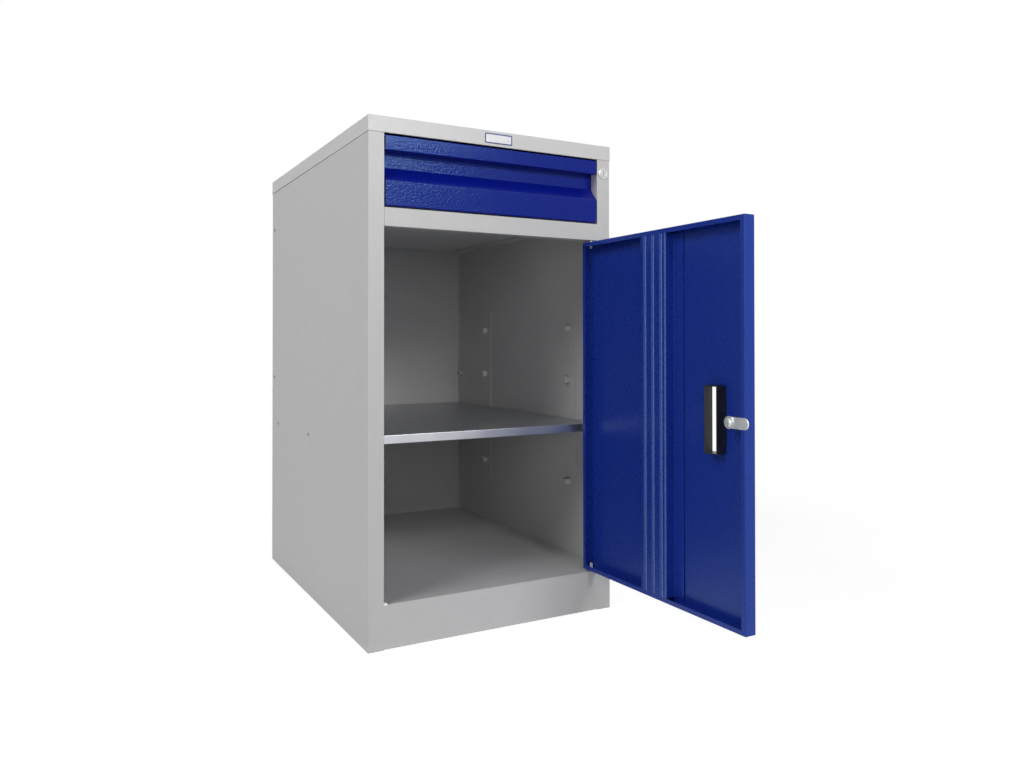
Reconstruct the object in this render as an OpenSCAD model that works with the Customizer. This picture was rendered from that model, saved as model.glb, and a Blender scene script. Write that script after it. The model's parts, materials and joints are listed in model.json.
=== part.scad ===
// Workshop cabinet: one drawer over a hinged door, sheet steel, door shown open at a right angle.
// The origin is on the floor, centred under the carcass. X runs to the right, Y to the back, Z up.

/* [Carcass] */
// Width of the carcass over its side panels
cab_w = 460; // [440:5:560]
// Depth of the carcass over its stiles and rear flanges
cab_d = 640; // [620:5:760]
// Height from the floor to the top of the cover
cab_h = 840; // [830:5:900]
// Thickness of the carcass sheet
sheet_t = 1.2; // [1:0.1:1.4]
// Width of a stile, which is the side panel's front flange
stile_w = 26.6; // [26.5:0.1:32]
// Depth of the stile's inner return
stile_return = 20; // [12:0.5:20]
// Width of the side panel's rear flange
rear_flange_w = 20; // [14:1:26]
// Width of the side panel's flanges at the floor and under the cover
base_flange_w = 22; // [16:1:25]
// Height of the plinth
plinth_h = 70; // [55:1:90]
// Depth of the returns of the plinth and the crossbar
rail_return = 20; // [17:1:26]
// Height of the crossbar between drawer and door
crossbar_h = 30; // [24:1:40]
// Width of the relief notch in the floor's corner on the lock side
notch_w = 9.8; // [4:0.2:10]
// Width of the relief notch in the floor's corner on the hinge side
hinge_notch_w = 5; // [3:0.2:6]
// Depth of the relief notches in the floor
notch_d = 12; // [5:0.5:14]
// Further depth of the relief notches in the plinth's return
notch_past = 4; // [0.5:0.5:5]
// Depth of the back panel's side flanges
back_flange = 9; // [6:0.5:10]

/* [Cover] */
// Height of the cover's skirt
skirt_h = 26; // [24:1:34]
// Thickness of the cover sheet
cover_t = 1; // [0.8:0.1:1.4]
// Depth of the return under the front skirt
cover_return = 12; // [6:1:16]
// Width of the name plate
name_w = 52; // [30:1:80]
// Height of the name plate
name_h = 17; // [10:1:20]
// Thickness of the name plate
name_t = 0.8; // [0.5:0.1:1.5]

/* [Rivet nuts] */
// Radius of the threaded bore
nut_bore_r = 2.5; // [2:0.25:3.5]
// Radius of the nut's barrel
nut_body_r = 4.4; // [4.1:0.1:5]
// Radius of the flange outside and of the bulge inside the sheet
nut_flange_r = 5.4; // [5.2:0.1:6]
// Thickness of the flange
nut_flange_t = 0.5; // [0.4:0.1:1]
// Length of the barrel behind the outer face
nut_len = 11; // [9:0.5:15]
// Distance of the second lower nut from the back
nut_back = 55; // [44:0.2:70]
// Distance between the two lower nuts
nut_pitch_y = 242; // [180:1:260]
// Height of the two lower nuts
nut_low_z = 306.5; // [296:0.5:308]
// Distance of the rear nuts from the back
nut_rear = 19.5; // [16:0.5:26]
// Height of the lower rear nut
nut_rear_z = 406.5; // [380:0.5:470]
// Distance between the two rear nuts
nut_pitch_z = 324; // [250:1:350]

/* [Shelf] */
// Height of the front and rear flanges of the shelf
shelf_lip = 14.5; // [12:0.5:18]
// Height of the side flanges that rest on the lugs
shelf_side = 18.5; // [17:0.5:24]
// Thickness of the shelf sheet
shelf_t = 1; // [0.8:0.1:1.4]
// Width of the returns under the shelf
shelf_return = 12; // [10:0.5:18]
// Distance of the shelf behind the front
shelf_front = 33; // [30:1:60]
// Gap between the shelf and the back panel
shelf_rear_gap = 5; // [2:0.5:12]
// Gap between the shelf and a side strip
shelf_side_gap = 2.1; // [1:0.1:4]
// Width of a lug strip
strip_w = 53; // [40:1:60]
// Height of a lug strip above the floor line
strip_z = 160; // [150:1:175]
// Length of a lug strip
strip_len = 391; // [380:1:400]
// Distance of the front strips' centre behind the front
strip_front = 136.5; // [100:1:160]
// Distance of the rear strips' centre from the back
strip_rear = 149.5; // [110:1:170]
// Height of the lowest lug's centre
lug_first = 209; // [200:1:215]
// Distance from lug to lug
lug_pitch = 100; // [98:1:102]
// Number of lugs in a strip
lug_count = 4; // [3:1:4]
// Lug that carries the shelf, counted from the lowest as 0
shelf_lug = 1; // [1:1:1]
// Width of a lug
lug_w = 16; // [12:1:22]
// Height of a lug
lug_h = 11; // [8:0.5:13]
// Reach of a lug from the strip
lug_reach = 9; // [7:0.5:10]
// Clear height of the lance above and below a lug
lance_gap = 3; // [1.5:0.5:4]

/* [Door] */
// Gap between the door and a stile
door_side_gap = 2.95; // [2.4:0.05:4]
// Gap between the door and the crossbar
door_top_gap = 4.4; // [3.5:0.1:7]
// Gap between the door and the floor
door_floor_gap = 3.5; // [2:0.1:4]
// Thickness of the folded door
door_thick = 20; // [19:0.5:22]
// Thickness of the door sheet
door_t = 1; // [0.8:0.1:1]
// Width of the door's inner returns
door_return = 8; // [7:0.5:12]
// Distance of the hinge axis from the stile
hinge_in = 9.8; // [9.4:0.1:12]
// Distance of the hinge axis behind the front
hinge_back = 6.1; // [4:0.1:6.6]
// Radius of a hinge pin
hinge_pin_r = 2; // [1.8:0.05:2.1]
// Radius of a hinge pin's head
hinge_head_r = 2.7; // [2.5:0.05:2.75]
// Wall of a hinge bush
bush_wall = 0.85; // [0.7:0.05:0.85]
// Running clearance round a hinge pin
hinge_clear = 0.05; // [0.02:0.01:0.08]
// Length of a bush inside the door
bush_len = 9; // [4:0.5:12]
// Width of the stiffener's top
hat_w = 60.4; // [50:0.1:80]
// Width of each base flange of the stiffener
hat_flange = 23; // [12:1:30]
// Distance from groove to groove in the stiffener
groove_pitch = 20; // [12:0.5:20]
// Number of grooves in the stiffener
groove_count = 3; // [1:2:3]
// Width of a groove
groove_w = 5.2; // [3:0.1:8]
// Depth of a groove
groove_d = 2; // [1:0.1:4]

/* [Pull handle] */
// Distance of the handle's body from the free edge
grip_edge = 57; // [54:0.5:70]
// Width of the handle's body
grip_w = 26.6; // [22:0.2:30]
// Width of the finger pocket outside
pocket_w = 35; // [32:0.5:40]
// Height of the handle's body
grip_h = 100; // [80:1:130]
// Height of the handle's and the door lock's centre
grip_z = 370; // [300:1:450]
// Thickness of the handle's walls
grip_wall = 1.5; // [1.2:0.1:2.5]
// Depth of the handle's body behind the skin
grip_depth = 17.7; // [12:0.1:17.9]
// Depth of the finger pocket behind the skin
pocket_depth = 3.5; // [2.5:0.1:6]
// Width of the bezel round the pocket
bezel_w = 4; // [2:0.5:6]
// Thickness of the bezel
bezel_t = 1.8; // [1:0.1:3]
// Length of a snap tab
tab_len = 28; // [10:1:30]
// Reach of a snap tab
tab_reach = 1.6; // [0.8:0.1:2.5]

/* [Locks] */
// Distance of the door lock from the free edge
door_lock_edge = 27.6; // [23:0.1:32]
// Reach of the door cam past the free edge
door_cam_past = 8.8; // [7:0.1:12]
// Distance of the drawer lock from the outer side
drawer_lock_edge = 14.3; // [12.2:0.1:14.5]
// Height of the drawer lock above the drawer opening
drawer_lock_up = 93; // [92.5:0.5:96]
// Length of the drawer cam from the axis
drawer_cam_len = 21.5; // [20.5:0.1:22]
// Radius of a lock's barrel
barrel_r = 9; // [8:0.1:9]
// Radius of a lock's bezel
lock_bezel_r = 10.5; // [10:0.1:11]
// Thickness of a lock's bezel
lock_bezel_t = 2.5; // [1.5:0.1:4]
// Radius of a lock's plug
plug_r = 6.4; // [5:0.1:7]
// Turning clearance round a plug
plug_clear = 0.05; // [0.02:0.01:0.08]
// Width of a lock cam
cam_w = 17; // [14:0.5:17]
// Thickness of a lock cam
cam_t = 2; // [1.5:0.1:2.5]
// Radius of a lock's retaining clip
clip_r = 10.6; // [10.5:0.1:11]
// Thickness of a retaining clip
clip_t = 1.2; // [0.8:0.1:1.6]

/* [Drawer] */
// Height of the drawer opening
drawer_open_h = 117; // [115:1:125]
// Gap above and below the drawer front
front_gap_z = 2.5; // [2:0.1:3.2]
// Gap beside the drawer front
front_gap_x = 1.8; // [1.5:0.1:4]
// Thickness of the drawer sheet
drawer_t = 1; // [0.8:0.1:1.2]
// Height of the strip above the finger recess
strip_top_h = 24; // [20:0.5:28]
// Height of the back of the finger recess
recess_h = 25; // [20:0.5:30]
// Depth of the finger recess
recess_d = 19.6; // [16:0.1:20]
// Height of the slope under the finger recess
slope_h = 22.5; // [16:0.5:28]
// Height of the drawer's sides
side_h = 76; // [70:1:78]
// Height of the drawer's sides above the opening's lower edge
side_up = 7; // [6:0.5:8]
// Width of the flange that carries the drawer's bottom
side_flange = 12; // [8:1:18]
// Width of the fold along the top of a drawer side
side_hem = 8; // [5:0.5:12]
// Gap between the drawer's back and the back panel
box_rear_gap = 31.6; // [20:0.2:50]

/* [Slides] */
// Length of each rail
rail_len = 550; // [500:5:550]
// Height of the outer rail
rail_h = 45; // [43:0.5:47]
// Thickness of the rails
rail_t = 1.2; // [1:0.1:1.3]
// Width of the pair of rails between bracket and drawer
rail_w = 12.4; // [12.2:0.1:13]
// Height of the rails above the opening's lower edge
rail_up = 40; // [39:0.5:41]
// Distance of the rails behind the front
rail_front = 24; // [22:0.5:30]
// Distance of the outer rail inside the edge of the stile
rail_gap = 0.3; // [0.2:0.1:1]
// Height of the bracket that carries the outer rail
bracket_h = 64; // [58:1:66]
// Height of the bracket's top above the middle of the rails
bracket_up = 31; // [28:0.5:31]
// Gap between a bracket and the back panel
bracket_rear_gap = 11.6; // [2:0.2:40]
// Diameter of the outer balls
ball_d = 3.9; // [3.4:0.1:4]
// Diameter of the inner balls
small_ball_d = 3.7; // [3.2:0.1:3.8]
// Play above and below a ball
ball_play = 0.05; // [0.02:0.01:0.08]
// Number of balls in a row
ball_count = 6; // [4:1:7]
// Distance from ball to ball
ball_pitch = 30; // [20:1:32]
// Length of a ball cage
cage_len = 180; // [160:5:240]
// Thickness of a ball cage
cage_t = 0.4; // [0.3:0.05:0.4]

/* [Hidden] */
$fn = 48;
cut = 1;
door_angle = 90;

front_y = -cab_d / 2;
back_y = cab_d / 2;
half_w = cab_w / 2;
wall_x = half_w - sheet_t;
open_x = half_w - stile_w;
lid_z = cab_h - cover_t;
open_top = cab_h - skirt_h;
open_bottom = open_top - drawer_open_h;
bar_bottom = open_bottom - crossbar_h;
floor_top = plinth_h + sheet_t;
back_face = back_y - 2 * sheet_t;

door_w = 2 * (open_x - door_side_gap);
door_x0 = -door_w / 2;
door_z0 = floor_top + door_floor_gap;
door_z1 = bar_bottom - door_top_gap;
skin_y = front_y + door_t;
inner_y = front_y + door_thick;
hinge_x = open_x - hinge_in;
hinge_y = front_y + hinge_back;
bush_r = hinge_pin_r + hinge_clear + bush_wall;
collar_gap = 0.3;
collar_h = door_floor_gap - collar_gap;
head_t = 2;
pin_past = 1;

lug_top = lug_first + shelf_lug * lug_pitch + lug_h / 2;
shelf_top = lug_top + shelf_side;
strip_x = wall_x - sheet_t;
shelf_x = strip_x - shelf_side_gap;

box_x = open_x - rail_gap - rail_w;
rail_x = open_x - rail_gap;
rail_z = open_bottom + rail_up;
rail_y0 = front_y + rail_front;
front_x = open_x - front_gap_x;
front_z0 = open_bottom + front_gap_z;
front_z1 = open_top - front_gap_z;
front_back = front_y + recess_d + drawer_t;
box_y0 = front_back + drawer_t;
box_y1 = back_face - box_rear_gap;
box_z0 = open_bottom + side_up;
box_z1 = box_z0 + side_h;

flange_in = rail_h / 2 - rail_t;
mid_out = flange_in - ball_d - 2 * ball_play;
mid_in = mid_out - rail_t;
inner_out = mid_in - small_ball_d - 2 * ball_play;
web_gap = 0.8;
mid_x = rail_x - rail_t - web_gap;
rail_tip = rail_x - rail_w + 0.9;
mid_tip = rail_tip + 0.5;
rail_lip = 1.6;
inner_tip = mid_x - rail_t - 1.3;
ball_x = (rail_tip + rail_x) / 2 - 0.65;
small_ball_x = (box_x + mid_x) / 2;
cage_y0 = rail_y0 + (rail_len - cage_len) / 2;

cam_gap = 0.5;
cam_y = max(inner_y, front_y + stile_return) + cam_gap;
cam_front = front_y + stile_return + 2;
drawer_lock_x = half_w - drawer_lock_edge;
drawer_lock_z = open_bottom + drawer_lock_up;
washer_t = 2;
screw_head_h = 2.5;
door_cam_len = door_lock_edge + door_cam_past;

shell_grey = [0.74, 0.745, 0.74];
paint_blue = [0.05, 0.09, 0.5];
zinc = [0.66, 0.68, 0.7];
chrome = [0.85, 0.85, 0.86];
black = [0.05, 0.05, 0.055];
nylon = [0.9, 0.9, 0.86];

// Folded sheet: a line of fold points gets the sheet's thickness on its left, or on its right
// where the thickness is negative, with mitred corners.
function unit(v) = v / norm(v);
function side_of(p, i) = let (d = unit(p[i + 1] - p[i])) [-d[1], d[0]];
function mitre(a, b) = (a + b) / (1 + a * b);
function shift_point(p, i, t) =
    i == 0 ? p[0] + t * side_of(p, 0)
    : i == len(p) - 1 ? p[i] + t * side_of(p, i - 1)
    : p[i] + t * mitre(side_of(p, i - 1), side_of(p, i));
function ribbon(p, t) = concat(p, [for (i = [len(p) - 1:-1:0]) shift_point(p, i, t)]);

module folded_up(p, t, z0, z1)
    translate([0, 0, z0]) linear_extrude(height = z1 - z0) polygon(ribbon(p, t));

// The fold line is drawn as [Y, Z] and runs from x0 to x1.
module folded_across(p, t, x0, x1)
    translate([x0, 0, 0]) rotate([90, 0, 90]) linear_extrude(height = x1 - x0) polygon(ribbon(p, t));

// The fold line is drawn as [X, Z] and runs from y0 to y1.
module folded_back(p, t, y0, y1)
    translate([0, y1, 0]) rotate([90, 0, 0]) linear_extrude(height = y1 - y0) polygon(ribbon(p, t));

module slab(low, high) translate(low) cube(high - low);

// A disc or a hole along X, Y or Z that starts at a point.
module along_x(p, r, h) translate(p) rotate([0, 90, 0]) cylinder(r = r, h = h);
module along_y(p, r, h) translate(p) rotate([-90, 0, 0]) cylinder(r = r, h = h);
module along_z(p, r, h) translate(p) cylinder(r = r, h = h);

module mirrored(is_left) mirror([is_left ? 1 : 0, 0, 0]) children();

// Places a piece of the closed door where it is with the door open.
module on_door()
    translate([hinge_x, hinge_y, 0]) rotate([0, 0, door_angle]) translate([-hinge_x, -hinge_y, 0])
        children();

// Side panels, seen as the right one

function nut_places() = [
    [back_y - nut_back - nut_pitch_y, nut_low_z],
    [back_y - nut_back, nut_low_z],
    [back_y - nut_rear, nut_rear_z],
    [back_y - nut_rear, nut_rear_z + nut_pitch_z]
];

module nut_holes()
    for (p = nut_places())
        along_x([wall_x - cut, p[0], p[1]], nut_body_r, sheet_t + 2 * cut);

module side_panel() {
    outline = [
        [open_x, front_y + stile_return], [open_x, front_y], [half_w, front_y],
        [half_w, back_y], [half_w - rear_flange_w, back_y]
    ];
    difference() {
        union() {
            folded_up(outline, sheet_t, 0, lid_z);
            slab([half_w - base_flange_w, front_y, 0], [half_w, back_y, sheet_t]);
            slab([half_w - base_flange_w, front_y, lid_z - sheet_t], [half_w, back_y, lid_z]);
        }
        slab([open_x - cut, front_y - cut, sheet_t], [wall_x, front_y + stile_return + cut, plinth_h]);
        nut_holes();
    }
}

module left_side_panel() color(shell_grey) mirrored(true) side_panel();

module right_side_panel() color(shell_grey) difference() {
    side_panel();
    along_y([drawer_lock_x, front_y - cut, drawer_lock_z], barrel_r + plug_clear, sheet_t + 2 * cut);
}

module back_panel() color(shell_grey) {
    slab([-wall_x, back_face, sheet_t], [wall_x, back_y - sheet_t, lid_z - sheet_t]);
    for (left = [false, true]) mirrored(left)
        slab([strip_x, back_y - back_flange, floor_top], [wall_x, back_face + sheet_t / 2, lid_z - sheet_t]);
}

module top_cover() color(shell_grey) {
    difference() {
        slab([-half_w - cover_t, front_y - cover_t, open_top], [half_w + cover_t, back_y + cover_t, cab_h]);
        slab([-half_w, front_y, open_top - cut], [half_w, back_y, lid_z]);
    }
    slab([-open_x, front_y - cover_t / 2, open_top], [open_x, front_y + cover_return, open_top + cover_t]);
}

module plate_face(w, h, r, t)
    translate([0, front_y - cover_t, (open_top + cab_h) / 2]) rotate([90, 0, 0]) linear_extrude(height = t) {
        square([w, h - 2 * r], center = true);
        square([w - 2 * r, h], center = true);
        for (sx = [-1, 1], sz = [-1, 1])
            translate([sx * (w / 2 - r), sz * (h / 2 - r)]) circle(r = r);
    }

module name_plate() color(nylon) difference() {
    rim_w = 1.8;
    plate_face(name_w, name_h, 2, name_t);
    translate([0, -name_t * 0.6, 0])
        plate_face(name_w - 2 * rim_w, name_h - 2 * rim_w, 1.4, name_t);
}

module front_crossbar() color(shell_grey) difference() {
    folded_across([
        [front_y + rail_return, open_bottom], [front_y, open_bottom],
        [front_y, bar_bottom], [front_y + rail_return, bar_bottom]
    ], sheet_t, -open_x, open_x);
    along_z([hinge_x, hinge_y, bar_bottom - cut], hinge_pin_r, sheet_t + 2 * cut);
}

module corner_notches(d)
    for (left = [false, true]) mirrored(left)
        slab([open_x - (left ? notch_w : hinge_notch_w), front_y - cut, plinth_h - sheet_t - cut],
             [open_x, front_y + d, floor_top + cut]);

module floor_panel() color(shell_grey) difference() {
    union() {
        slab([-open_x, front_y, plinth_h], [open_x, back_face, floor_top]);
        slab([-wall_x, front_y + stile_return, plinth_h], [wall_x, back_face, floor_top]);
    }
    corner_notches(notch_d);
    along_z([hinge_x, hinge_y, plinth_h - cut], hinge_pin_r, sheet_t + 2 * cut);
}

module plinth() color(shell_grey) difference() {
    folded_across([
        [front_y + rail_return, plinth_h], [front_y, plinth_h],
        [front_y, sheet_t], [front_y + rail_return, sheet_t]
    ], sheet_t, -wall_x, wall_x);
    difference() {
        corner_notches(notch_d + notch_past);
        slab([-half_w, front_y - 2 * cut, 0], [half_w, front_y + sheet_t, plinth_h]);
    }
    along_z([hinge_x, hinge_y, plinth_h - sheet_t - cut], hinge_pin_r, sheet_t + 2 * cut);
}

module rivet_nut(p) {
    bulge = 3;
    difference() {
        union() {
            along_x([half_w, p[0], p[1]], nut_flange_r, nut_flange_t);
            along_x([half_w - nut_len, p[0], p[1]], nut_body_r, nut_len);
            along_x([wall_x - bulge, p[0], p[1]], nut_flange_r, bulge);
        }
        along_x([half_w - nut_len - cut, p[0], p[1]], nut_bore_r, nut_len + nut_flange_t + 2 * cut);
    }
}

module rivet_nuts() for (p = nut_places()) rivet_nut(p);
module left_rivet_nuts() color(shell_grey) mirrored(true) rivet_nuts();
module right_rivet_nuts() color(shell_grey) rivet_nuts();

// Lug strips and the shelf

module lug_strip(y) {
    z_of = [for (i = [0:lug_count - 1]) lug_first + i * lug_pitch];
    slope = 2;
    difference() {
        slab([strip_x, y - strip_w / 2, strip_z], [wall_x, y + strip_w / 2, strip_z + strip_len]);
        for (z = z_of)
            slab([strip_x - cut, y - lug_w / 2 + sheet_t, z - lug_h / 2 - lance_gap],
                 [wall_x + cut, y + lug_w / 2 - sheet_t, z + lug_h / 2 + lance_gap]);
    }
    for (z = z_of)
        folded_up([
            [wall_x, y + lug_w / 2], [strip_x, y + lug_w / 2], [strip_x - lug_reach, y + lug_w / 2 - slope],
            [strip_x - lug_reach, y - lug_w / 2 + slope], [strip_x, y - lug_w / 2], [wall_x, y - lug_w / 2]
        ], sheet_t, z - lug_h / 2, z + lug_h / 2);
}

module left_front_lug_strip() color(shell_grey) mirrored(true) lug_strip(front_y + strip_front);
module left_rear_lug_strip() color(shell_grey) mirrored(true) lug_strip(back_y - strip_rear);
module right_front_lug_strip() color(shell_grey) lug_strip(front_y + strip_front);
module right_rear_lug_strip() color(shell_grey) lug_strip(back_y - strip_rear);

module shelf() color(zinc) {
    y0 = front_y + shelf_front;
    y1 = back_face - shelf_rear_gap;
    z1 = shelf_top;
    z0 = z1 - shelf_lip;
    setback = 7;
    slab([-shelf_x, y0, z1 - shelf_t], [shelf_x, y1, z1]);
    slab([-shelf_x, y0, z0], [shelf_x, y0 + shelf_t, z1]);
    slab([-shelf_x, y1 - shelf_t, z0], [shelf_x, y1, z1]);
    slab([-shelf_x, y0, z0], [shelf_x, y0 + shelf_return, z0 + shelf_t]);
    slab([-shelf_x, y1 - shelf_return, z0], [shelf_x, y1, z0 + shelf_t]);
    for (left = [false, true]) mirrored(left) {
        slab([shelf_x - shelf_t, y0, z0], [shelf_x, y1, z1]);
        slab([shelf_x - shelf_t, y0 + setback, lug_top], [shelf_x, y1 - setback, z1]);
        slab([shelf_x - shelf_return, y0 + setback, lug_top], [shelf_x, y1 - setback, lug_top + shelf_t]);
    }
}

// Drawer slides, seen as the right one

module slide_bracket() {
    z1 = rail_z + bracket_up;
    z0 = z1 - bracket_h;
    difference() {
        folded_back([[wall_x, z1], [rail_x, z1], [rail_x, z0], [wall_x, z0]], sheet_t,
                    rail_y0, back_face - bracket_rear_gap);
        for (y = screw_ys()) along_x([rail_x - cut, y, rail_z], screw_r, sheet_t + 2 * cut);
    }
}
screw_r = 2;
screw_head_r = 3.6;
function screw_ys() = [for (f = [0.1, 0.5, 0.9]) rail_y0 + f * rail_len];

module left_slide_bracket() color(shell_grey) mirrored(true) slide_bracket();
module right_slide_bracket() color(shell_grey) slide_bracket();

module outer_rail() difference() {
    h = rail_h / 2;
    folded_back([
        [rail_tip, rail_z + h - rail_t - rail_lip], [rail_tip, rail_z + h], [rail_x, rail_z + h],
        [rail_x, rail_z - h], [rail_tip, rail_z - h], [rail_tip, rail_z - h + rail_t + rail_lip]
    ], -rail_t, rail_y0, rail_y0 + rail_len);
    for (y = screw_ys()) {
        along_x([rail_x - rail_t - cut, y, rail_z], screw_r, rail_t + 2 * cut);
        translate([rail_x - rail_t, y, rail_z]) rotate([0, 90, 0])
            cylinder(r1 = screw_r + rail_t, r2 = screw_r, h = rail_t);
    }
}

module middle_rail()
    folded_back([
        [mid_tip, rail_z + mid_out], [mid_x, rail_z + mid_out],
        [mid_x, rail_z - mid_out], [mid_tip, rail_z - mid_out]
    ], -rail_t, rail_y0, rail_y0 + rail_len);

module inner_rail() difference() {
    folded_back([
        [inner_tip, rail_z + inner_out], [box_x, rail_z + inner_out],
        [box_x, rail_z - inner_out], [inner_tip, rail_z - inner_out]
    ], rail_t, rail_y0, rail_y0 + rail_len);
    for (y = screw_ys()) along_x([box_x - cut, y, rail_z], screw_r, rail_t + 2 * cut);
}

module left_outer_rail() color(zinc) mirrored(true) outer_rail();
module right_outer_rail() color(zinc) outer_rail();
module left_middle_rail() color(zinc) mirrored(true) middle_rail();
module right_middle_rail() color(zinc) middle_rail();
module left_inner_rail() color(zinc) mirrored(true) inner_rail();
module right_inner_rail() color(zinc) inner_rail();

// Ball cages: a channel of thin strip with the balls in holes through its upper and lower leg.

function ball_ys() = [for (i = [0:ball_count - 1])
    cage_y0 + cage_len / 2 + (i - (ball_count - 1) / 2) * ball_pitch];
outer_ball_z = (flange_in + mid_out) / 2;
inner_ball_z = (mid_in + inner_out) / 2;

module cage(web_x, tip_x, x, z, d) difference() {
    folded_back([
        [tip_x, rail_z + z + cage_t / 2], [web_x, rail_z + z + cage_t / 2],
        [web_x, rail_z - z - cage_t / 2], [tip_x, rail_z - z - cage_t / 2]
    ], -cage_t, cage_y0, cage_y0 + cage_len);
    for (y = ball_ys(), s = [-1, 1])
        along_z([x, y, rail_z + s * z - cage_t], d / 2 + ball_play, 2 * cage_t);
}

module balls(x, z, d)
    for (left = [false, true], y = ball_ys(), s = [-1, 1]) mirrored(left)
        translate([x, y, rail_z + s * z]) sphere(d = d, $fn = 24);

module outer_cage()
    cage(mid_x + (web_gap + cage_t) / 2, ball_x - small_ball_d / 2 - 0.6, ball_x, outer_ball_z, ball_d);
module inner_cage()
    cage((mid_x - rail_t + inner_tip + cage_t) / 2, small_ball_x - small_ball_d / 2 - 0.6,
         small_ball_x, inner_ball_z, small_ball_d);

module left_outer_cage() color(zinc) mirrored(true) outer_cage();
module right_outer_cage() color(zinc) outer_cage();
module left_inner_cage() color(zinc) mirrored(true) inner_cage();
module right_inner_cage() color(zinc) inner_cage();
module outer_balls() color(chrome) balls(ball_x, outer_ball_z, ball_d);
module inner_balls() color(chrome) balls(small_ball_x, inner_ball_z, small_ball_d);

screw_tail = 5;
screw_pan_h = 2.2;
module outer_rail_screws() color(zinc)
    for (left = [false, true], y = screw_ys()) mirrored(left) {
        along_x([rail_x - rail_t, y, rail_z], screw_r, rail_t + sheet_t + screw_tail);
        translate([rail_x - rail_t, y, rail_z]) rotate([0, 90, 0])
            cylinder(r1 = screw_r + rail_t, r2 = screw_r, h = rail_t);
    }

module inner_rail_screws() color(zinc)
    for (left = [false, true], y = screw_ys()) mirrored(left) {
        along_x([box_x - drawer_t - screw_tail, y, rail_z], screw_r, rail_t + drawer_t + screw_tail);
        along_x([box_x + rail_t, y, rail_z], screw_head_r, screw_pan_h);
    }

// Drawer

module drawer_front() color(paint_blue) {
    z1 = front_z1 - strip_top_h;
    z2 = z1 - recess_h;
    z3 = z2 - slope_h;
    recess_y = front_y + recess_d;
    folded_across([
        [front_back, front_z1], [front_y, front_z1], [front_y, z1], [recess_y, z1],
        [recess_y, z2], [front_y, z3], [front_y, front_z0], [front_back, front_z0]
    ], drawer_t, -front_x, front_x);
}
front_stud_z = box_z1 - 7;
stud_nut_h = 2.2;
function front_stud_xs() = [for (f = [-0.75, -0.25, 0.25, 0.75]) f * box_x];

module drawer_inner_front() color(shell_grey) difference() {
    slab([-box_x, front_back, front_z0 + drawer_t], [box_x, box_y0, box_z1]);
    for (x = front_stud_xs())
        along_y([x, front_back - cut, front_stud_z], screw_r, drawer_t + 2 * cut);
}

// Studs welded to the back of the recess, with their nuts inside the drawer
module drawer_front_studs() color(zinc)
    for (x = front_stud_xs()) {
        along_y([x, front_back, front_stud_z], screw_r, drawer_t + stud_nut_h);
        along_y([x, box_y0, front_stud_z], screw_head_r, stud_nut_h);
    }

module drawer_side() difference() {
    folded_back([
        [box_x - side_flange, box_z0], [box_x, box_z0], [box_x, box_z1], [box_x - side_hem, box_z1]
    ], drawer_t, box_y0, box_y1);
    for (y = screw_ys())
        along_x([box_x - drawer_t - cut, y, rail_z], screw_r, drawer_t + 2 * cut);
}

module drawer_left_side() color(shell_grey) mirrored(true) drawer_side();
module drawer_right_side() color(shell_grey) drawer_side();

module drawer_bottom() color(shell_grey)
    slab([drawer_t - box_x, box_y0, box_z0 + drawer_t], [box_x - drawer_t, box_y1, box_z0 + 2 * drawer_t]);

module drawer_back() color(shell_grey)
    slab([drawer_t - box_x, box_y1 - drawer_t, box_z0 + 2 * drawer_t],
         [box_x - drawer_t, box_y1, box_z1 - drawer_t]);

// Angle on the drawer's right side that the drawer cam drops in front of

catch_gap = 0.6;
module lock_catch() color(zinc) {
    y0 = cam_front + cam_t + catch_gap;
    z1 = drawer_lock_z + cam_w / 2;
    z0 = rail_z + rail_h / 2 + 4.5;
    tab_z = box_z1 + 2;
    slab([box_x, y0, z0], [box_x + rail_t, y0 + 22, z1]);
    slab([box_x, y0, tab_z], [front_x - 0.5, y0 + rail_t, z1]);
}

// Locks: drawn on their own axis, which runs to the back from the face that the bezel lies on.

module lock_housing(len) difference() {
    union() {
        translate([0, 0, -lock_bezel_t]) cylinder(r1 = lock_bezel_r - 1, r2 = lock_bezel_r, h = 1);
        translate([0, 0, 1 - lock_bezel_t]) cylinder(r = lock_bezel_r, h = lock_bezel_t - 1);
        cylinder(r = barrel_r, h = len);
    }
    translate([0, 0, -lock_bezel_t - cut])
        cylinder(r = plug_r + plug_clear, h = len + lock_bezel_t + 2 * cut);
}

module lock_plug(len) difference() {
    translate([0, 0, -lock_bezel_t]) cylinder(r = plug_r, h = len + lock_bezel_t);
    translate([-0.7, -4, -lock_bezel_t - cut]) cube([1.4, 8, 4 + cut]);
    translate([0, 0, len - 4]) cylinder(r = screw_r, h = 4 + cut);
}

module lock_clip() difference() {
    cylinder(r = clip_r, h = clip_t);
    translate([0, 0, -cut]) cylinder(r = barrel_r, h = clip_t + 2 * cut);
    translate([-barrel_r * 0.7, -clip_r - cut, -cut]) cube([barrel_r * 1.4, clip_r, clip_t + 2 * cut]);
}

// The cam points along -X of its own frame.
module lock_cam(len) difference() {
    end_r = cam_w / 2;
    union() {
        cylinder(r = end_r, h = cam_t);
        translate([end_r - len, 0, 0]) cylinder(r = end_r, h = cam_t);
        translate([end_r - len, -end_r, 0]) cube([len - end_r, cam_w, cam_t]);
    }
    translate([0, 0, -cut]) cylinder(r = screw_r, h = cam_t + 2 * cut);
}

module lock_screw(below, head_r) {
    translate([0, 0, -below]) cylinder(r = screw_r, h = below);
    difference() {
        cylinder(r1 = head_r, r2 = head_r * 0.72, h = screw_head_h);
        translate([-0.6, -head_r, screw_head_h - 1]) cube([1.2, 2 * head_r, 1 + cut]);
    }
}

module at_drawer_lock(y) translate([drawer_lock_x, y, drawer_lock_z]) rotate([-90, 0, 0]) children();

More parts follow.
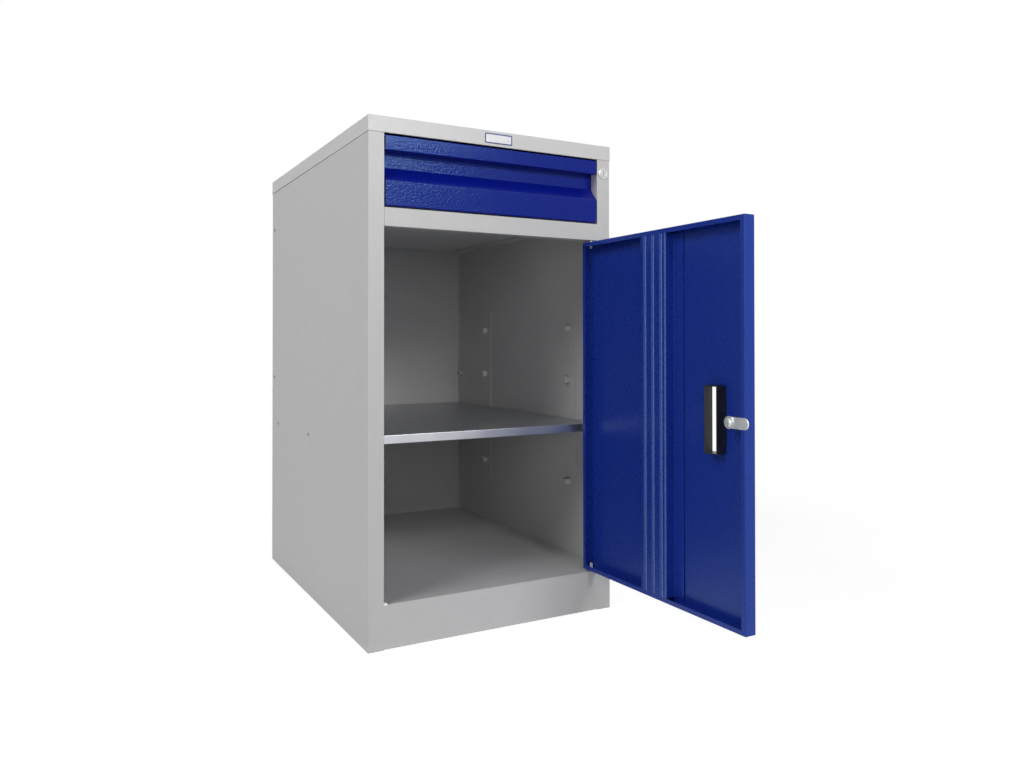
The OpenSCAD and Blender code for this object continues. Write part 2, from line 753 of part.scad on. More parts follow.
module drawer_lock_housing() color(chrome) at_drawer_lock(front_y) lock_housing(cam_front - front_y - 0.5);
module drawer_lock_clip() color(zinc) at_drawer_lock(front_y + sheet_t) lock_clip();
module drawer_lock_plug() color(chrome) at_drawer_lock(front_y) lock_plug(cam_front - front_y);
module drawer_lock_cam() color(zinc) at_drawer_lock(cam_front) rotate([0, 0, -90]) lock_cam(drawer_cam_len);
module drawer_lock_screw() color(zinc) at_drawer_lock(cam_front + cam_t) lock_screw(cam_t + 3, 5);

module at_door_lock(y)
    on_door() translate([door_x0 + door_lock_edge, y, grip_z]) rotate([-90, 0, 0]) children();

module door_lock_housing() color(chrome) at_door_lock(front_y) lock_housing(cam_y - front_y - 0.5);
module door_lock_clip() color(zinc) at_door_lock(skin_y) lock_clip();
module door_lock_plug() color(chrome) at_door_lock(front_y) lock_plug(cam_y - front_y);
module door_lock_cam() color(zinc) at_door_lock(cam_y) lock_cam(door_cam_len);
module door_lock_washer() color(zinc) at_door_lock(cam_y + cam_t) difference() {
    cylinder(r = barrel_r, h = washer_t);
    translate([0, 0, -cut]) cylinder(r = screw_r, h = washer_t + 2 * cut);
}
module door_lock_screw() color(chrome)
    at_door_lock(cam_y + cam_t + washer_t) lock_screw(washer_t + cam_t + 3, 6.5);

// Hinges

module upper_hinge_pin() color(zinc) {
    end_z = door_z1 - bush_len - pin_past;
    along_z([hinge_x, hinge_y, end_z], hinge_pin_r, bar_bottom + sheet_t - end_z);
    along_z([hinge_x, hinge_y, bar_bottom + sheet_t], hinge_head_r, head_t);
}

module lower_hinge_pin() color(zinc) {
    base_z = plinth_h - sheet_t;
    along_z([hinge_x, hinge_y, base_z], hinge_pin_r, door_z0 + bush_len + pin_past - base_z);
    along_z([hinge_x, hinge_y, base_z - head_t], hinge_head_r, head_t);
}

module hinge_bush(low_z) difference() {
    union() {
        along_z([hinge_x, hinge_y, low_z], bush_r, bush_len);
        children();
    }
    along_z([hinge_x, hinge_y, low_z - bush_len], hinge_pin_r + hinge_clear, 3 * bush_len);
}

module upper_hinge_bush() color(nylon) hinge_bush(door_z1 - bush_len);

// The lower bush has a collar that carries the door on the floor.
module lower_hinge_bush() color(nylon) hinge_bush(door_z0)
    along_z([hinge_x, hinge_y, door_z0 - collar_h], bush_r + 1, collar_h);

// Door

fit = 0.2;
module door_panel() color(paint_blue) on_door() difference() {
    x1 = door_x0 + door_w;
    slab([door_x0, front_y, door_z0], [x1, inner_y, door_z1]);
    slab([door_x0 + door_t, skin_y, door_z0 + door_t], [x1 - door_t, inner_y - door_t, door_z1 - door_t]);
    slab([door_x0 + door_return, skin_y + cut, door_z0 + door_return],
         [x1 - door_return, inner_y + cut, door_z1 - door_return]);
    slab([door_x0 + grip_edge - fit, front_y - cut, grip_z - grip_h / 2 - fit],
         [door_x0 + grip_edge + pocket_w + fit, skin_y + cut / 2, grip_z + grip_h / 2 + fit]);
    along_y([door_x0 + door_lock_edge, front_y - cut, grip_z], barrel_r + plug_clear, door_t + 2 * cut);
    along_z([hinge_x, hinge_y, door_z0 - cut], bush_r, door_t + 2 * cut);
    along_z([hinge_x, hinge_y, door_z1 - door_t - cut], bush_r, door_t + 2 * cut);
}

module door_stiffener() color(paint_blue) on_door() {
    x0 = -hat_w / 2;
    low_y = skin_y + door_t;
    grooves = [for (i = [0:groove_count - 1]) (i - (groove_count - 1) / 2) * groove_pitch];
    rim = groove_w / 2;
    bed = groove_w * 0.15;
    folded_up(concat(
        [[x0 - hat_flange, low_y], [x0, low_y], [x0, inner_y]],
        [for (g = grooves, p = [[-rim, 0], [-bed, -groove_d], [bed, -groove_d], [rim, 0]])
            [g + p[0], inner_y + p[1]]],
        [[-x0, inner_y], [-x0, low_y], [hat_flange - x0, low_y]]
    ), -door_t, door_z0 + door_return, door_z1 - door_return);
}

module pull_handle() color(black) on_door() {
    x0 = door_x0 + grip_edge;
    z0 = grip_z - grip_h / 2;
    z1 = grip_z + grip_h / 2;
    rim_y = skin_y + grip_depth;
    pocket_y = skin_y + pocket_depth;
    w = grip_wall;
    difference() {
        union() {
            slab([x0 - bezel_w, front_y - bezel_t, z0 - bezel_w],
                 [x0 + pocket_w + bezel_w, front_y, z1 + bezel_w]);
            slab([x0, front_y - bezel_t, z0], [x0 + pocket_w, pocket_y, z1]);
            slab([x0, front_y, z0], [x0 + grip_w, rim_y, z1]);
        }
        slab([x0 + w, front_y - bezel_t - cut, z0 + w], [x0 + grip_w - w, rim_y + cut, z1 - w]);
        slab([x0 + w, front_y - bezel_t - cut, z0 + w], [x0 + pocket_w - w, pocket_y - w, z1 - w]);
    }
    for (s = [-1, 1])
        translate([x0, skin_y, grip_z + s * grip_h / 4 - tab_len / 2]) linear_extrude(height = tab_len)
            polygon([[cut / 2, fit], [-tab_reach, fit], [-tab_reach, 2], [0, 7], [cut / 2, 7]]);
}

left_side_panel();
right_side_panel();
back_panel();
top_cover();
front_crossbar();
floor_panel();
plinth();
name_plate();
left_rivet_nuts();
right_rivet_nuts();
left_front_lug_strip();
left_rear_lug_strip();
right_front_lug_strip();
right_rear_lug_strip();
shelf();
left_slide_bracket();
right_slide_bracket();
left_outer_rail();
right_outer_rail();
left_middle_rail();
right_middle_rail();
left_inner_rail();
right_inner_rail();
left_outer_cage();
right_outer_cage();
outer_balls();
left_inner_cage();
right_inner_cage();
inner_balls();
outer_rail_screws();
inner_rail_screws();
drawer_front();
drawer_inner_front();
drawer_left_side();
drawer_right_side();
drawer_back();
drawer_bottom();
drawer_front_studs();
lock_catch();
drawer_lock_housing();
drawer_lock_clip();
drawer_lock_plug();
drawer_lock_cam();
drawer_lock_screw();
upper_hinge_pin();
lower_hinge_pin();
upper_hinge_bush();
lower_hinge_bush();
door_panel();
door_stiffener();
pull_handle();
door_lock_housing();
door_lock_clip();
door_lock_plug();
door_lock_cam();
door_lock_washer();
door_lock_screw();
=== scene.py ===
# %% [markdown]
# # A workshop drawer cabinet
#
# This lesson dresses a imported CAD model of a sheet-steel cabinet: one drawer over a hinged door,
# the door standing open, one shelf inside. The CAD model is the frame. It fixes where every part
# is, in metres, with X to the right, Y to the back and Z up. Blender adds what CAD leaves out: the
# radius of each fold, the bite of the shear along each cut edge, paint, zinc and light.

# %% Load the frame
import json
import math

import bmesh
import bpy
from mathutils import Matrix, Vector
from mathutils.bvhtree import BVHTree


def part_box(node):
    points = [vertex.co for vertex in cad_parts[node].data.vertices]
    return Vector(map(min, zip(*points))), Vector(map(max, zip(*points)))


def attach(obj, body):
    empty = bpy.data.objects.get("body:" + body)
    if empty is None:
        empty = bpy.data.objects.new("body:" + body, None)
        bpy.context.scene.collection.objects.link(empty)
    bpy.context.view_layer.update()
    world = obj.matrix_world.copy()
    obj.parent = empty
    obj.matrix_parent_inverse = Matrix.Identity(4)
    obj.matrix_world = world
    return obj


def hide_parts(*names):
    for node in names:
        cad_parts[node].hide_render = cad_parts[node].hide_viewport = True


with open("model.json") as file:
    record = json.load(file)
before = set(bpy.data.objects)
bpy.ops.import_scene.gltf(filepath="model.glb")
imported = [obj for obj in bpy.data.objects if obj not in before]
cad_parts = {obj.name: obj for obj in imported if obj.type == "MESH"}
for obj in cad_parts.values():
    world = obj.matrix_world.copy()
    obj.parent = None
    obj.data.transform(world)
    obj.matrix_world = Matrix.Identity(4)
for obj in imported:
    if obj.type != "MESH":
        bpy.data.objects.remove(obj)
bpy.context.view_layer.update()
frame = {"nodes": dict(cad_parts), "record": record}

scene = bpy.context.scene
cad = frame["nodes"]
bodies = frame["record"]["behaviour"]["bodies"]
body_of_node = {node: body for body, nodes in bodies.items() for node in nodes}

# %% [markdown]
# ## Camera
#
# The photograph was taken from the left of the cabinet, at about half its height, so its vertical
# edges stand almost upright and the top isn't seen. The place and the lens below were found by
# setting the corners of the CAD model against the photograph. The picture is cut a little above
# the middle of the lens, which is a vertical shift and no tilt.

# %% The camera
camera = bpy.data.objects.new("camera", bpy.data.cameras.new("camera"))
camera.data.sensor_width = 36.0
camera.data.lens = 29.038
camera.data.shift_y = -0.04969
camera.data.clip_start, camera.data.clip_end = 0.05, 200.0
camera.location = (-0.6586, -1.5527, 0.4859)
camera.rotation_euler = (math.radians(90.517), math.radians(0.037), math.radians(-29.056))
scene.collection.objects.link(camera)
scene.camera = camera
front_centre = Vector((0, -0.32, 0.42))
print("distance to the front's centre:", round((camera.location - front_centre).length, 3))

# %% [markdown]
# ## A short way to write node trees
#
# Finishes and repeated parts are both node trees, and a tree written out call by call is long. A
# `Number` is a socket that carries a number. A sum written with it becomes Math nodes, so
# `width / 2 - reach` reads as it does on paper. `add` makes a node and wires what it is given.
# Shader trees and Geometry Nodes trees name the Math node the same, so both use these helpers.


# %% Numbers in a node tree
def operator(operation):
    """A method that works on two numbers with one Math node."""
    return lambda self, other: maths(operation, self, other)


class Number:
    """A socket with a number. Arithmetic on it adds Math nodes, and a comparison gives 1 or 0."""

    def __init__(self, socket):
        self.socket = socket

    def __abs__(self):
        return maths("ABSOLUTE", self)

    def __rsub__(self, other):
        return maths("SUBTRACT", other, self)

    __add__ = operator("ADD")
    __sub__ = operator("SUBTRACT")
    __mul__ = operator("MULTIPLY")
    __truediv__ = operator("DIVIDE")
    __mod__ = operator("MODULO")
    __gt__ = operator("GREATER_THAN")
    __lt__ = operator("LESS_THAN")


def maths(operation, *terms):
    """One Math node, in the tree of the numbers that it works on."""
    tree = next(term.socket.id_data for term in terms if isinstance(term, Number))
    return Number(add(tree, "ShaderNodeMath", dict(enumerate(terms)), operation=operation))


# %% Nodes and links
def wire(source, socket):
    """One link into a socket, from a Number or from a plain socket."""
    socket.id_data.links.new(source.socket if isinstance(source, Number) else source, socket)


def add_node(tree, kind, values=None, **settings):
    """A new node. Values go to its sockets by name or place, and one that is a socket is wired."""
    made = tree.nodes.new(kind)
    for name, value in settings.items():
        setattr(made, name, value)
    for place, value in (values or {}).items():
        if isinstance(value, (Number, bpy.types.NodeSocket)):
            wire(value, made.inputs[place])
        else:
            made.inputs[place].default_value = value
    return made


def add(tree, kind, values=None, **settings):
    """The first output of a new node, which is nearly always the one that is wanted."""
    return add_node(tree, kind, values, **settings).outputs[0]


# %% [markdown]
# ## Finishes
#
# Every finish is a Principled shader whose constants stand on its own sockets. What varies over a
# surface, such as colour, roughness and relief, comes from noise read in object coordinates. Those
# are metres here, so a noise scale of 500 gives features of about two millimetres. A picture laid
# on folded sheet would need unwrapping and would repeat, and noise does neither.


# %% Helpers for finishes
def finish_named(name, colour, roughness, metallic=0.0, **constants):
    """A Principled material and its tree, with the constants on the shader's own sockets."""
    material = bpy.data.materials.new(name)
    material.use_nodes = True
    material.diffuse_color = (*colour, 1.0)
    tree = material.node_tree
    shader = tree.nodes["Principled BSDF"]
    shader.inputs["Base Color"].default_value = (*colour, 1.0)
    shader.inputs["Roughness"].default_value = roughness
    shader.inputs["Metallic"].default_value = metallic
    for socket, value in constants.items():
        shader.inputs[socket.replace("_", " ")].default_value = value
    return material, tree, shader


def place_of(tree, stretch=(1.0, 1.0, 1.0)):
    """Object coordinates, stretched along an axis where a grain runs."""
    seen = add_node(tree, "ShaderNodeTexCoord").outputs["Object"]
    return add(tree, "ShaderNodeMapping", {"Vector": seen, "Scale": stretch})


def noise(where, scale, detail, rough):
    """Smooth noise with a value round 0.5."""
    values = {"Vector": where, "Scale": scale, "Detail": detail, "Roughness": rough}
    return Number(add(where.id_data, "ShaderNodeTexNoise", values))


def spread(value, low, high, start=0.3, end=0.7):
    """Maps a range onto another. By itself it stretches the middle of a noise."""
    values = {"Value": value, "From Min": start, "From Max": end, "To Min": low, "To Max": high}
    return Number(add(value.socket.id_data, "ShaderNodeMapRange", values))


def shaded(colour, share):
    """A colour made darker or lighter, with the fourth value that a socket wants."""
    return (*(min(1.0, share * part) for part in colour), 1.0)


def between(value, dark, light):
    """A colour between two, by a value from 0 to 1. A Mix node has its colours at 6 and 7."""
    colours = {0: value, 6: dark, 7: light}
    return add_node(value.socket.id_data, "ShaderNodeMix", colours, data_type="RGBA").outputs[2]


# %% What every finish ends with
def relief(shader, layers):
    """Stacks bumps, each a height from 0 to 1 and its depth in metres."""
    normal = None
    for height, depth in layers:
        values = {"Height": height, "Distance": depth, "Strength": 1.0}
        if normal is not None:
            values["Normal"] = normal
        normal = add(shader.id_data, "ShaderNodeBump", values)
    wire(normal, shader.inputs["Normal"])


def vary(shader, shade, colours, gloss, rough, layers):
    """One noise shades the colour, one sets the roughness, and layers of noise give relief."""
    wire(between(spread(shade, 0.0, 1.0), *colours), shader.inputs["Base Color"])
    wire(spread(gloss, *rough), shader.inputs["Roughness"])
    relief(shader, layers)


# %% [markdown]
# ### Powder coat
#
# The paints are powder, sprayed dry and melted in an oven. As it melts it draws into small
# hummocks, the orange peel, that break up every reflection. On the greys they are fine and low. The
# drawer's blue is glossier and its peel is deep, so the lamps show on it as a mottle. The door's
# blue is smoother and a shade lighter; the lighter shade is painted light, standing in for light and
# reflection that reach the door's inside too weakly.


# %% A powder coat
def powder_coat(name, colour, peel, depth, rough, **constants):
    """Baked powder: hummocks of a size in metres, faint long waves, patches of duller skin."""
    material, tree, shader = finish_named(name, colour, rough[0], **constants)
    where = place_of(tree)
    hummocks = noise(where, scale=1.0 / peel, detail=1.5, rough=0.45)
    grains = noise(where, scale=3.1 / peel, detail=1.0, rough=0.5)
    patches = noise(where, scale=34.0, detail=3.0, rough=0.55)
    waves = noise(where, scale=7.0, detail=1.0, rough=0.4)
    colours = shaded(colour, 0.985), shaded(colour, 1.01)
    layers = [(waves, depth * 2), (hummocks, depth), (grains, depth * 0.3)]
    vary(shader, patches, colours, hummocks, rough, layers)
    return material


# %% The paints
GREY = (0.55, 0.55, 0.545)
COVER_GREY = (0.61, 0.61, 0.605)
BLUE = (0.0028, 0.0085, 0.215)
# The door's blue is painted lighter than the drawer's, standing in for light and reflection on its inside.
DOOR_BLUE_PAINTED_LIGHTER = (0.0105, 0.0330, 0.285)
BLUE_SHEEN = (0.42, 0.72, 1.0, 1.0)
grey_paint = powder_coat("grey_powder_coat", GREY, peel=0.0036, depth=0.00018, rough=(0.33, 0.42),
                         Specular_IOR_Level=0.4)
cover_paint = powder_coat("cover_powder_coat", COVER_GREY, peel=0.0038, depth=0.00022, rough=(0.31, 0.40),
                          Specular_IOR_Level=0.4)
blue_paint = powder_coat("blue_powder_coat", BLUE, peel=0.0036, depth=0.00034, rough=(0.18, 0.21),
                         Specular_IOR_Level=0.28, Specular_Tint=BLUE_SHEEN)
door_paint = powder_coat("door_powder_coat", DOOR_BLUE_PAINTED_LIGHTER, peel=0.0042, depth=0.00007, rough=(0.27, 0.29),
                         Specular_IOR_Level=0.4, Specular_Tint=BLUE_SHEEN)
print("paints:", *(paint.name for paint in (grey_paint, cover_paint, blue_paint, door_paint)))

# %% [markdown]
# ### Bare metals
#
# The shelf is left galvanised: it shows the long streaks of the rolling mill and, under them, the
# faint flowers of the zinc bath. Noise stretched from front to back gives the streaks, and the
# cells of a Voronoi texture give the flowers. Slides and fasteners are zinc plated and brighter.
# The lock is a nickelled casting, a little smoother again. Balls are polished. The threads of the
# rivet nuts are near black: painted shade, the dark inside their narrow bores.


# %% Metal finishes
def rolled_metal(name, colour, rough, streak, flowers):
    """Metal with streaks from front to back and cells of slightly different brightness."""
    material, tree, shader = finish_named(name, colour, rough[0], 1.0)
    lines = noise(place_of(tree, (1.0, streak, streak)), scale=420.0, detail=3.0, rough=0.6)
    clouds = noise(place_of(tree), scale=16.0, detail=3.0, rough=0.55)
    values = {"Vector": place_of(tree), "Scale": flowers, "Randomness": 1.0}
    cells = add_node(tree, "ShaderNodeTexVoronoi", values).outputs["Color"]
    cell = Number(add(tree, "ShaderNodeSeparateColor", {0: cells}))
    colours = shaded(colour, 0.88), shaded(colour, 1.0)
    vary(shader, cell * 0.12 + clouds * 0.88, colours, clouds, rough, [(lines, 6e-6)])
    return material


def plated_metal(name, colour, rough, scale, depth):
    """Plating over a rolled or turned part: fine scratches and slight cloudiness."""
    material, tree, shader = finish_named(name, colour, rough[0], 1.0)
    where = place_of(tree)
    clouds = noise(where, scale=90.0, detail=3.0, rough=0.6)
    fine = noise(where, scale=scale, detail=4.0, rough=0.6)
    colours = shaded(colour, 0.86), shaded(colour, 1.0)
    vary(shader, clouds, colours, fine, rough, [(fine, depth)])
    return material


# %% The metals
galvanised = rolled_metal("galvanised_sheet", (0.56, 0.57, 0.60), rough=(0.30, 0.42), streak=0.04,
                          flowers=70.0)
zinc = plated_metal("zinc_plate", (0.66, 0.68, 0.70), rough=(0.24, 0.38), scale=1500.0, depth=4e-6)
lock_chrome = plated_metal("satin_nickel", (0.64, 0.64, 0.65), rough=(0.16, 0.26), scale=2600.0, depth=2e-6)
ball_steel = plated_metal("bearing_steel", (0.80, 0.80, 0.80), rough=(0.05, 0.09), scale=3000.0, depth=4e-7)
# A near-black finish for the nuts' threads: painted shade in their bores.
bore_shade_finish = plated_metal("painted_bore_shade", (0.045, 0.045, 0.048), (0.42, 0.55), scale=1500.0, depth=4e-6)
print("metals:", *(metal.name for metal in (galvanised, zinc, lock_chrome, ball_steel, bore_shade_finish)))

# %% [markdown]
# ### Plastics and the plate
#
# The handle is a black moulding with a spark-eroded grain. The hinge bushes are natural nylon, a
# cream that lets a little light in. The plate on the cover is lacquered white with a blue rim, and
# stays bare. All have the same even grain at different sizes, so one function makes them.


# %% The plastics
def moulded(name, colour, rough, grain, depth, **constants):
    """A moulding with an even grain, its size in metres, and slightly uneven gloss."""
    material, tree, shader = finish_named(name, colour, rough[0], **constants)
    where = place_of(tree)
    fine = noise(where, scale=1.0 / grain, detail=2.0, rough=0.6)
    flow = noise(where, scale=60.0, detail=3.0, rough=0.5)
    colours = shaded(colour, 0.9), shaded(colour, 1.0)
    vary(shader, flow, colours, flow, rough, [(fine, depth)])
    return material


black_plastic = moulded("black_moulding", (0.013, 0.013, 0.015), rough=(0.36, 0.46), grain=0.0006,
                        depth=1.2e-5)
nylon = moulded("natural_nylon", (0.80, 0.78, 0.68), rough=(0.40, 0.50), grain=0.0008, depth=6e-6,
                Subsurface_Weight=0.15)
plate_white = moulded("plate_lacquer", (0.82, 0.83, 0.85), rough=(0.24, 0.32), grain=0.0012, depth=4e-6,
                      Coat_Weight=0.3)
plate_blue = moulded("plate_rim", (0.012, 0.040, 0.22), rough=(0.28, 0.36), grain=0.0012, depth=4e-6)
print("plastics:", *(plastic.name for plastic in (black_plastic, nylon, plate_white, plate_blue)))

# %% [markdown]
# ## Rounding a CAD copy as sheet metal is rounded
#
# A CAD solid has knife-sharp edges, and real light finds no edge that sharp. A folded sheet has
# two kinds of edge. Along a fold the outside runs round at about the sheet's thickness more than
# the inside. Along a cut only a tenth or two of a millimetre are broken. One Bevel modifier can do
# both when each edge carries its own weight, so the helper below looks into the solid beside each
# edge: where the metal runs on for a way on both sides it is a fold, and where it ends after a
# sheet's thickness it is a cut.

# %% Measure the edges of a copy
SAME_PLACE = 2e-6
SAME_PLANE = math.radians(0.6)
EDGE_ANGLE = math.radians(28)


def run_of(tree, edge, face, step=0.0001):
    """How far the solid goes on under a face, away from the edge."""
    loop = next(loop for loop in face.loops if loop.edge == edge)
    ahead = loop.link_loop_next.vert.co - loop.vert.co
    inward = face.normal.cross(ahead.normalized())
    start = (edge.verts[0].co + edge.verts[1].co) / 2 + inward * step - face.normal * step
    hit = tree.ray_cast(start, inward, 1.0)
    return hit[3] if hit[0] is not None else 1.0


def weigh_edges(mesh, fold, inner, cut, wide):
    """Cleans a mesh of loose triangles and weights its edges for the Bevel modifier."""
    bm = bmesh.new()
    bm.from_mesh(mesh)
    bmesh.ops.remove_doubles(bm, verts=bm.verts, dist=SAME_PLACE)
    bmesh.ops.dissolve_limit(bm, angle_limit=SAME_PLANE, verts=bm.verts, edges=bm.edges)
    bm.normal_update()
    tree = BVHTree.FromBMesh(bm)
    weight = bm.edges.layers.float.new("bevel_weight_edge")
    counts = {"folds": 0, "cut edges": 0, "inner folds": 0}
    for edge in bm.edges:
        if len(edge.link_faces) != 2 or edge.calc_face_angle() < EDGE_ANGLE:
            continue
        runs_on = min(run_of(tree, edge, face) for face in edge.link_faces) > wide
        if edge.is_convex:
            edge[weight] = 1.0 if runs_on else cut / fold
            counts["folds" if runs_on else "cut edges"] += 1
        elif runs_on:
            edge[weight] = inner / fold
            counts["inner folds"] += 1
    bm.to_mesh(mesh)
    bm.free()
    return counts


# %% [markdown]
# The modifier is evaluated and its result kept as a plain mesh, so that a finished piece carries
# nothing live. Normals weighted by area keep the flat of a sheet flat right up to its rounded edge.


# %% Round a mesh
def as_plain_mesh(holder):
    """The mesh that an object's modifiers give. The object itself is thrown away."""
    made = bpy.data.meshes.new_from_object(holder.evaluated_get(bpy.context.evaluated_depsgraph_get()))
    bpy.data.objects.remove(holder)
    return made


def holder_of(mesh):
    """An object in the scene, to run modifiers on a mesh."""
    holder = bpy.data.objects.new("holder", mesh)
    scene.collection.objects.link(holder)
    return holder


def rounded(mesh, fold=0.0014, inner=0.0004, cut=0.0002, wide=0.0026, steps=3):
    """The mesh with its folds and cuts rounded, and how many edges of each kind it has."""
    counts = weigh_edges(mesh, fold, inner, cut, wide)
    mesh.shade_smooth()
    holder = holder_of(mesh)
    bevel = holder.modifiers.new("Edges", "BEVEL")
    bevel.limit_method = "WEIGHT"
    bevel.width = fold
    bevel.segments = steps
    bevel.use_clamp_overlap = False
    bevel.miter_outer = "MITER_SHARP"
    flats = holder.modifiers.new("Flats", "WEIGHTED_NORMAL")
    flats.weight = 100
    return as_plain_mesh(holder), counts


# %% Hand a piece over
def hand_over(name, mesh, body, replaced, materials=()):
    """Makes an object of a mesh in place, and ties it to the frame."""
    mesh.name = name
    if materials:
        mesh.materials.clear()
        for material in materials:
            mesh.materials.append(material)
    piece = bpy.data.objects.new(name, mesh)
    scene.collection.objects.link(piece)
    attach(piece, body)
    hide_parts(*replaced)
    return piece


def dress(node, material, slot, **sizes):
    """A rounded copy of one CAD node, with its finish."""
    mesh, counts = rounded(cad[node].data.copy(), **sizes)
    piece = hand_over(node + "_finished", mesh, body_of_node[node], [node], [material])
    print(f"{node}:", *(f"{count} {kind}," for kind, count in counts.items()), len(mesh.polygons), "faces")
    return piece


# %% [markdown]
# ## The carcass
#
# Side panels, back, cover, crossbar, floor and plinth are one skin of sheet steel, each folded on a
# press brake and welded together before painting. Each is a rounded copy of its CAD node: its folds
# are already there, and only their radii are missing. The plinth's corner slot opens 0.6 mm from
# its face, so its fold stays tight: a wide one would roll over the slot.

# %% The carcass sheets
SHEAR = 0.0001
for name in ("left_side_panel", "right_side_panel"):
    dress(name, grey_paint, "grey_paint", fold=0.0009, cut=SHEAR)
for name in ("back_panel", "front_crossbar", "floor_panel"):
    dress(name, grey_paint, "grey_paint", fold=0.0014, cut=SHEAR)
dress("plinth", grey_paint, "grey_paint", fold=0.0004, cut=SHEAR)
dress("top_cover", cover_paint, "grey_paint", fold=0.0014, cut=SHEAR)
for side in ("left", "right"):
    dress(side + "_slide_bracket", grey_paint, "grey_paint", fold=0.0016)

# %% [markdown]
# ## The door and the drawer
#
# The door is a tray of 1 mm sheet whose edges fold back twice. The drawer's front is one sheet
# folded seven times, so that its top makes a lip over a recess for the fingers. Both are blue. The
# drawer's box behind it is grey, and its folds are a little tighter.

# %% The blue sheets and the drawer's box
DRAWER_BOX = ("drawer_inner_front", "drawer_left_side", "drawer_right_side", "drawer_back", "drawer_bottom")
dress("door_panel", door_paint, "blue_paint", fold=0.0014)
dress("drawer_front", blue_paint, "blue_paint", fold=0.0015, inner=0.0005)
for name in DRAWER_BOX:
    dress(name, grey_paint, "grey_paint", fold=0.0012)

# %% [markdown]
# ## The shelf
#
# One galvanised sheet with its edges folded down, and returned underneath. It lies loose on four
# lugs, so it is a piece of its own and rides on its own body.

# %% The shelf
dress("shelf", galvanised, "galvanised", fold=0.0013)

# %% [markdown]
# ## Slides
#
# Rails are rolled from zinc plated strip, with generous bends. The ball cages are thin strip with
# a hole for every ball. Both take the same rounding as the sheets, with smaller sizes.

# %% Rails, cages and the lock's catch
for side in ("left", "right"):
    for rail in ("outer", "middle", "inner"):
        dress(f"{side}_{rail}_rail", zinc, "zinc", fold=0.0009, inner=0.0003, cut=0.00015, wide=0.0015)
    for cage in ("outer", "inner"):
        dress(f"{side}_{cage}_cage", zinc, "zinc", fold=0.0003, inner=0.0001, cut=0.00006, wide=0.0008)
dress("lock_catch", zinc, "zinc", fold=0.0008, inner=0.0003)

# %% [markdown]
# ## Locks, handle and hinges
#
# These are castings, mouldings and turned parts, and their edges are all broken alike. With a
# least width of 0 every edge counts as a fold, so one radius serves a whole part.

# %% The solid parts
LOCK_PARTS = {
    "housing": (lock_chrome, "lock_chrome", 0.0005), "plug": (lock_chrome, "lock_chrome", 0.0003),
    "clip": (zinc, "zinc", 0.0002), "cam": (zinc, "zinc", 0.0006),
    "washer": (zinc, "zinc", 0.0005), "screw": (zinc, "zinc", 0.00025),
}
for lock in ("drawer_lock", "door_lock"):
    for part, (material, slot, radius) in LOCK_PARTS.items():
        if f"{lock}_{part}" in cad:
            dress(f"{lock}_{part}", material, slot, fold=radius, inner=0.0001, cut=radius, wide=0.0)
for end in ("upper", "lower"):
    dress(end + "_hinge_pin", zinc, "zinc", fold=0.0004, cut=0.0004, wide=0.0)
    dress(end + "_hinge_bush", nylon, "nylon", fold=0.0003, cut=0.0003, wide=0.0)
dress("pull_handle", black_plastic, "black_plastic", fold=0.0007, inner=0.0004, cut=0.0005, wide=0.0024)

# %% [markdown]
# ## The name plate
#
# A thin rounded plate with a raised rim. The rim is blue and the field white: one mesh with two
# finishes, told apart by where a face lies.

# %% The plate
RIM = 0.0018
FIELD_START = RIM * 0.98
SKIN = 0.0001
plate = dress("name_plate", plate_blue, "plate", fold=0.0003, inner=0.0001, cut=0.0002, wide=0.0)
low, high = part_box("name_plate")
plate.data.materials.append(plate_white)
for face in plate.data.polygons:
    inside = all(low[a] + FIELD_START < face.center[a] < high[a] - FIELD_START for a in (0, 2))
    if inside and abs(face.normal.y) > 0.9 and face.center.y > low.y + SKIN:
        face.material_index = 1
print("plate:", [round(1000 * (h - l), 2) for l, h in zip(low, high)], "mm")

# %% [markdown]
# ## Repeated and rule-shaped parts, by Geometry Nodes
#
# What repeats is made once and set out by a tree, so a change of pitch or count is one number. The
# helpers below start a tree with named sizes, close it, and run it. A modifier's input is set by
# its socket's identifier, and the result is kept as a plain mesh.


# %% Start, close and run a tree
def new_tree(name, sizes):
    """A Geometry Nodes tree with an input for each size, and those inputs as numbers."""
    tree = bpy.data.node_groups.new(name, "GeometryNodeTree")
    tree.interface.new_socket("Geometry", in_out="OUTPUT", socket_type="NodeSocketGeometry")
    for label, value in sizes.items():
        kind = "NodeSocketInt" if isinstance(value, int) else "NodeSocketFloat"
        tree.interface.new_socket(label, in_out="INPUT", socket_type=kind).default_value = value
    source = tree.nodes.new("NodeGroupInput")
    return tree, {label: Number(source.outputs[label]) for label in sizes}, tree.nodes.new("NodeGroupOutput")


def close_tree(tree, out, geometry, material):
    """Every tree ends alike: real geometry, with its material."""
    real = add(tree, "GeometryNodeRealizeInstances", {0: geometry})
    real = add(tree, "GeometryNodeSetMaterial", {0: real, "Material": material})
    wire(real, out.inputs[0])


def run_tree(tree, sizes):
    """The plain mesh that a tree makes with these sizes."""
    holder = holder_of(bpy.data.meshes.new("holder"))
    modifier = holder.modifiers.new("Tree", "NODES")
    modifier.node_group = tree
    for item in tree.interface.items_tree:
        if item.item_type == "SOCKET" and item.in_out == "INPUT":
            modifier[item.identifier] = sizes[item.name]
    return as_plain_mesh(holder)


# %% [markdown]
# A few steps come back in every tree: a place from three values, several geometries as one, a move,
# copies on points, and a mirror image. The mirror turns faces inside out, so they are flipped back.


# %% Steps that every tree uses
def xyz(tree, x=0.0, y=0.0, z=0.0):
    """A vector from three values or sockets."""
    return add(tree, "ShaderNodeCombineXYZ", {0: x, 1: y, 2: z})


def joined(tree, *parts):
    """Several geometries in one."""
    join = add_node(tree, "GeometryNodeJoinGeometry")
    for part in reversed(parts):
        wire(part, join.inputs[0])
    return join.outputs[0]


def moved(tree, geometry, x=0.0, y=0.0, z=0.0):
    """A geometry, carried along the three axes."""
    return add(tree, "GeometryNodeTransform", {0: geometry, "Translation": xyz(tree, x, y, z)})


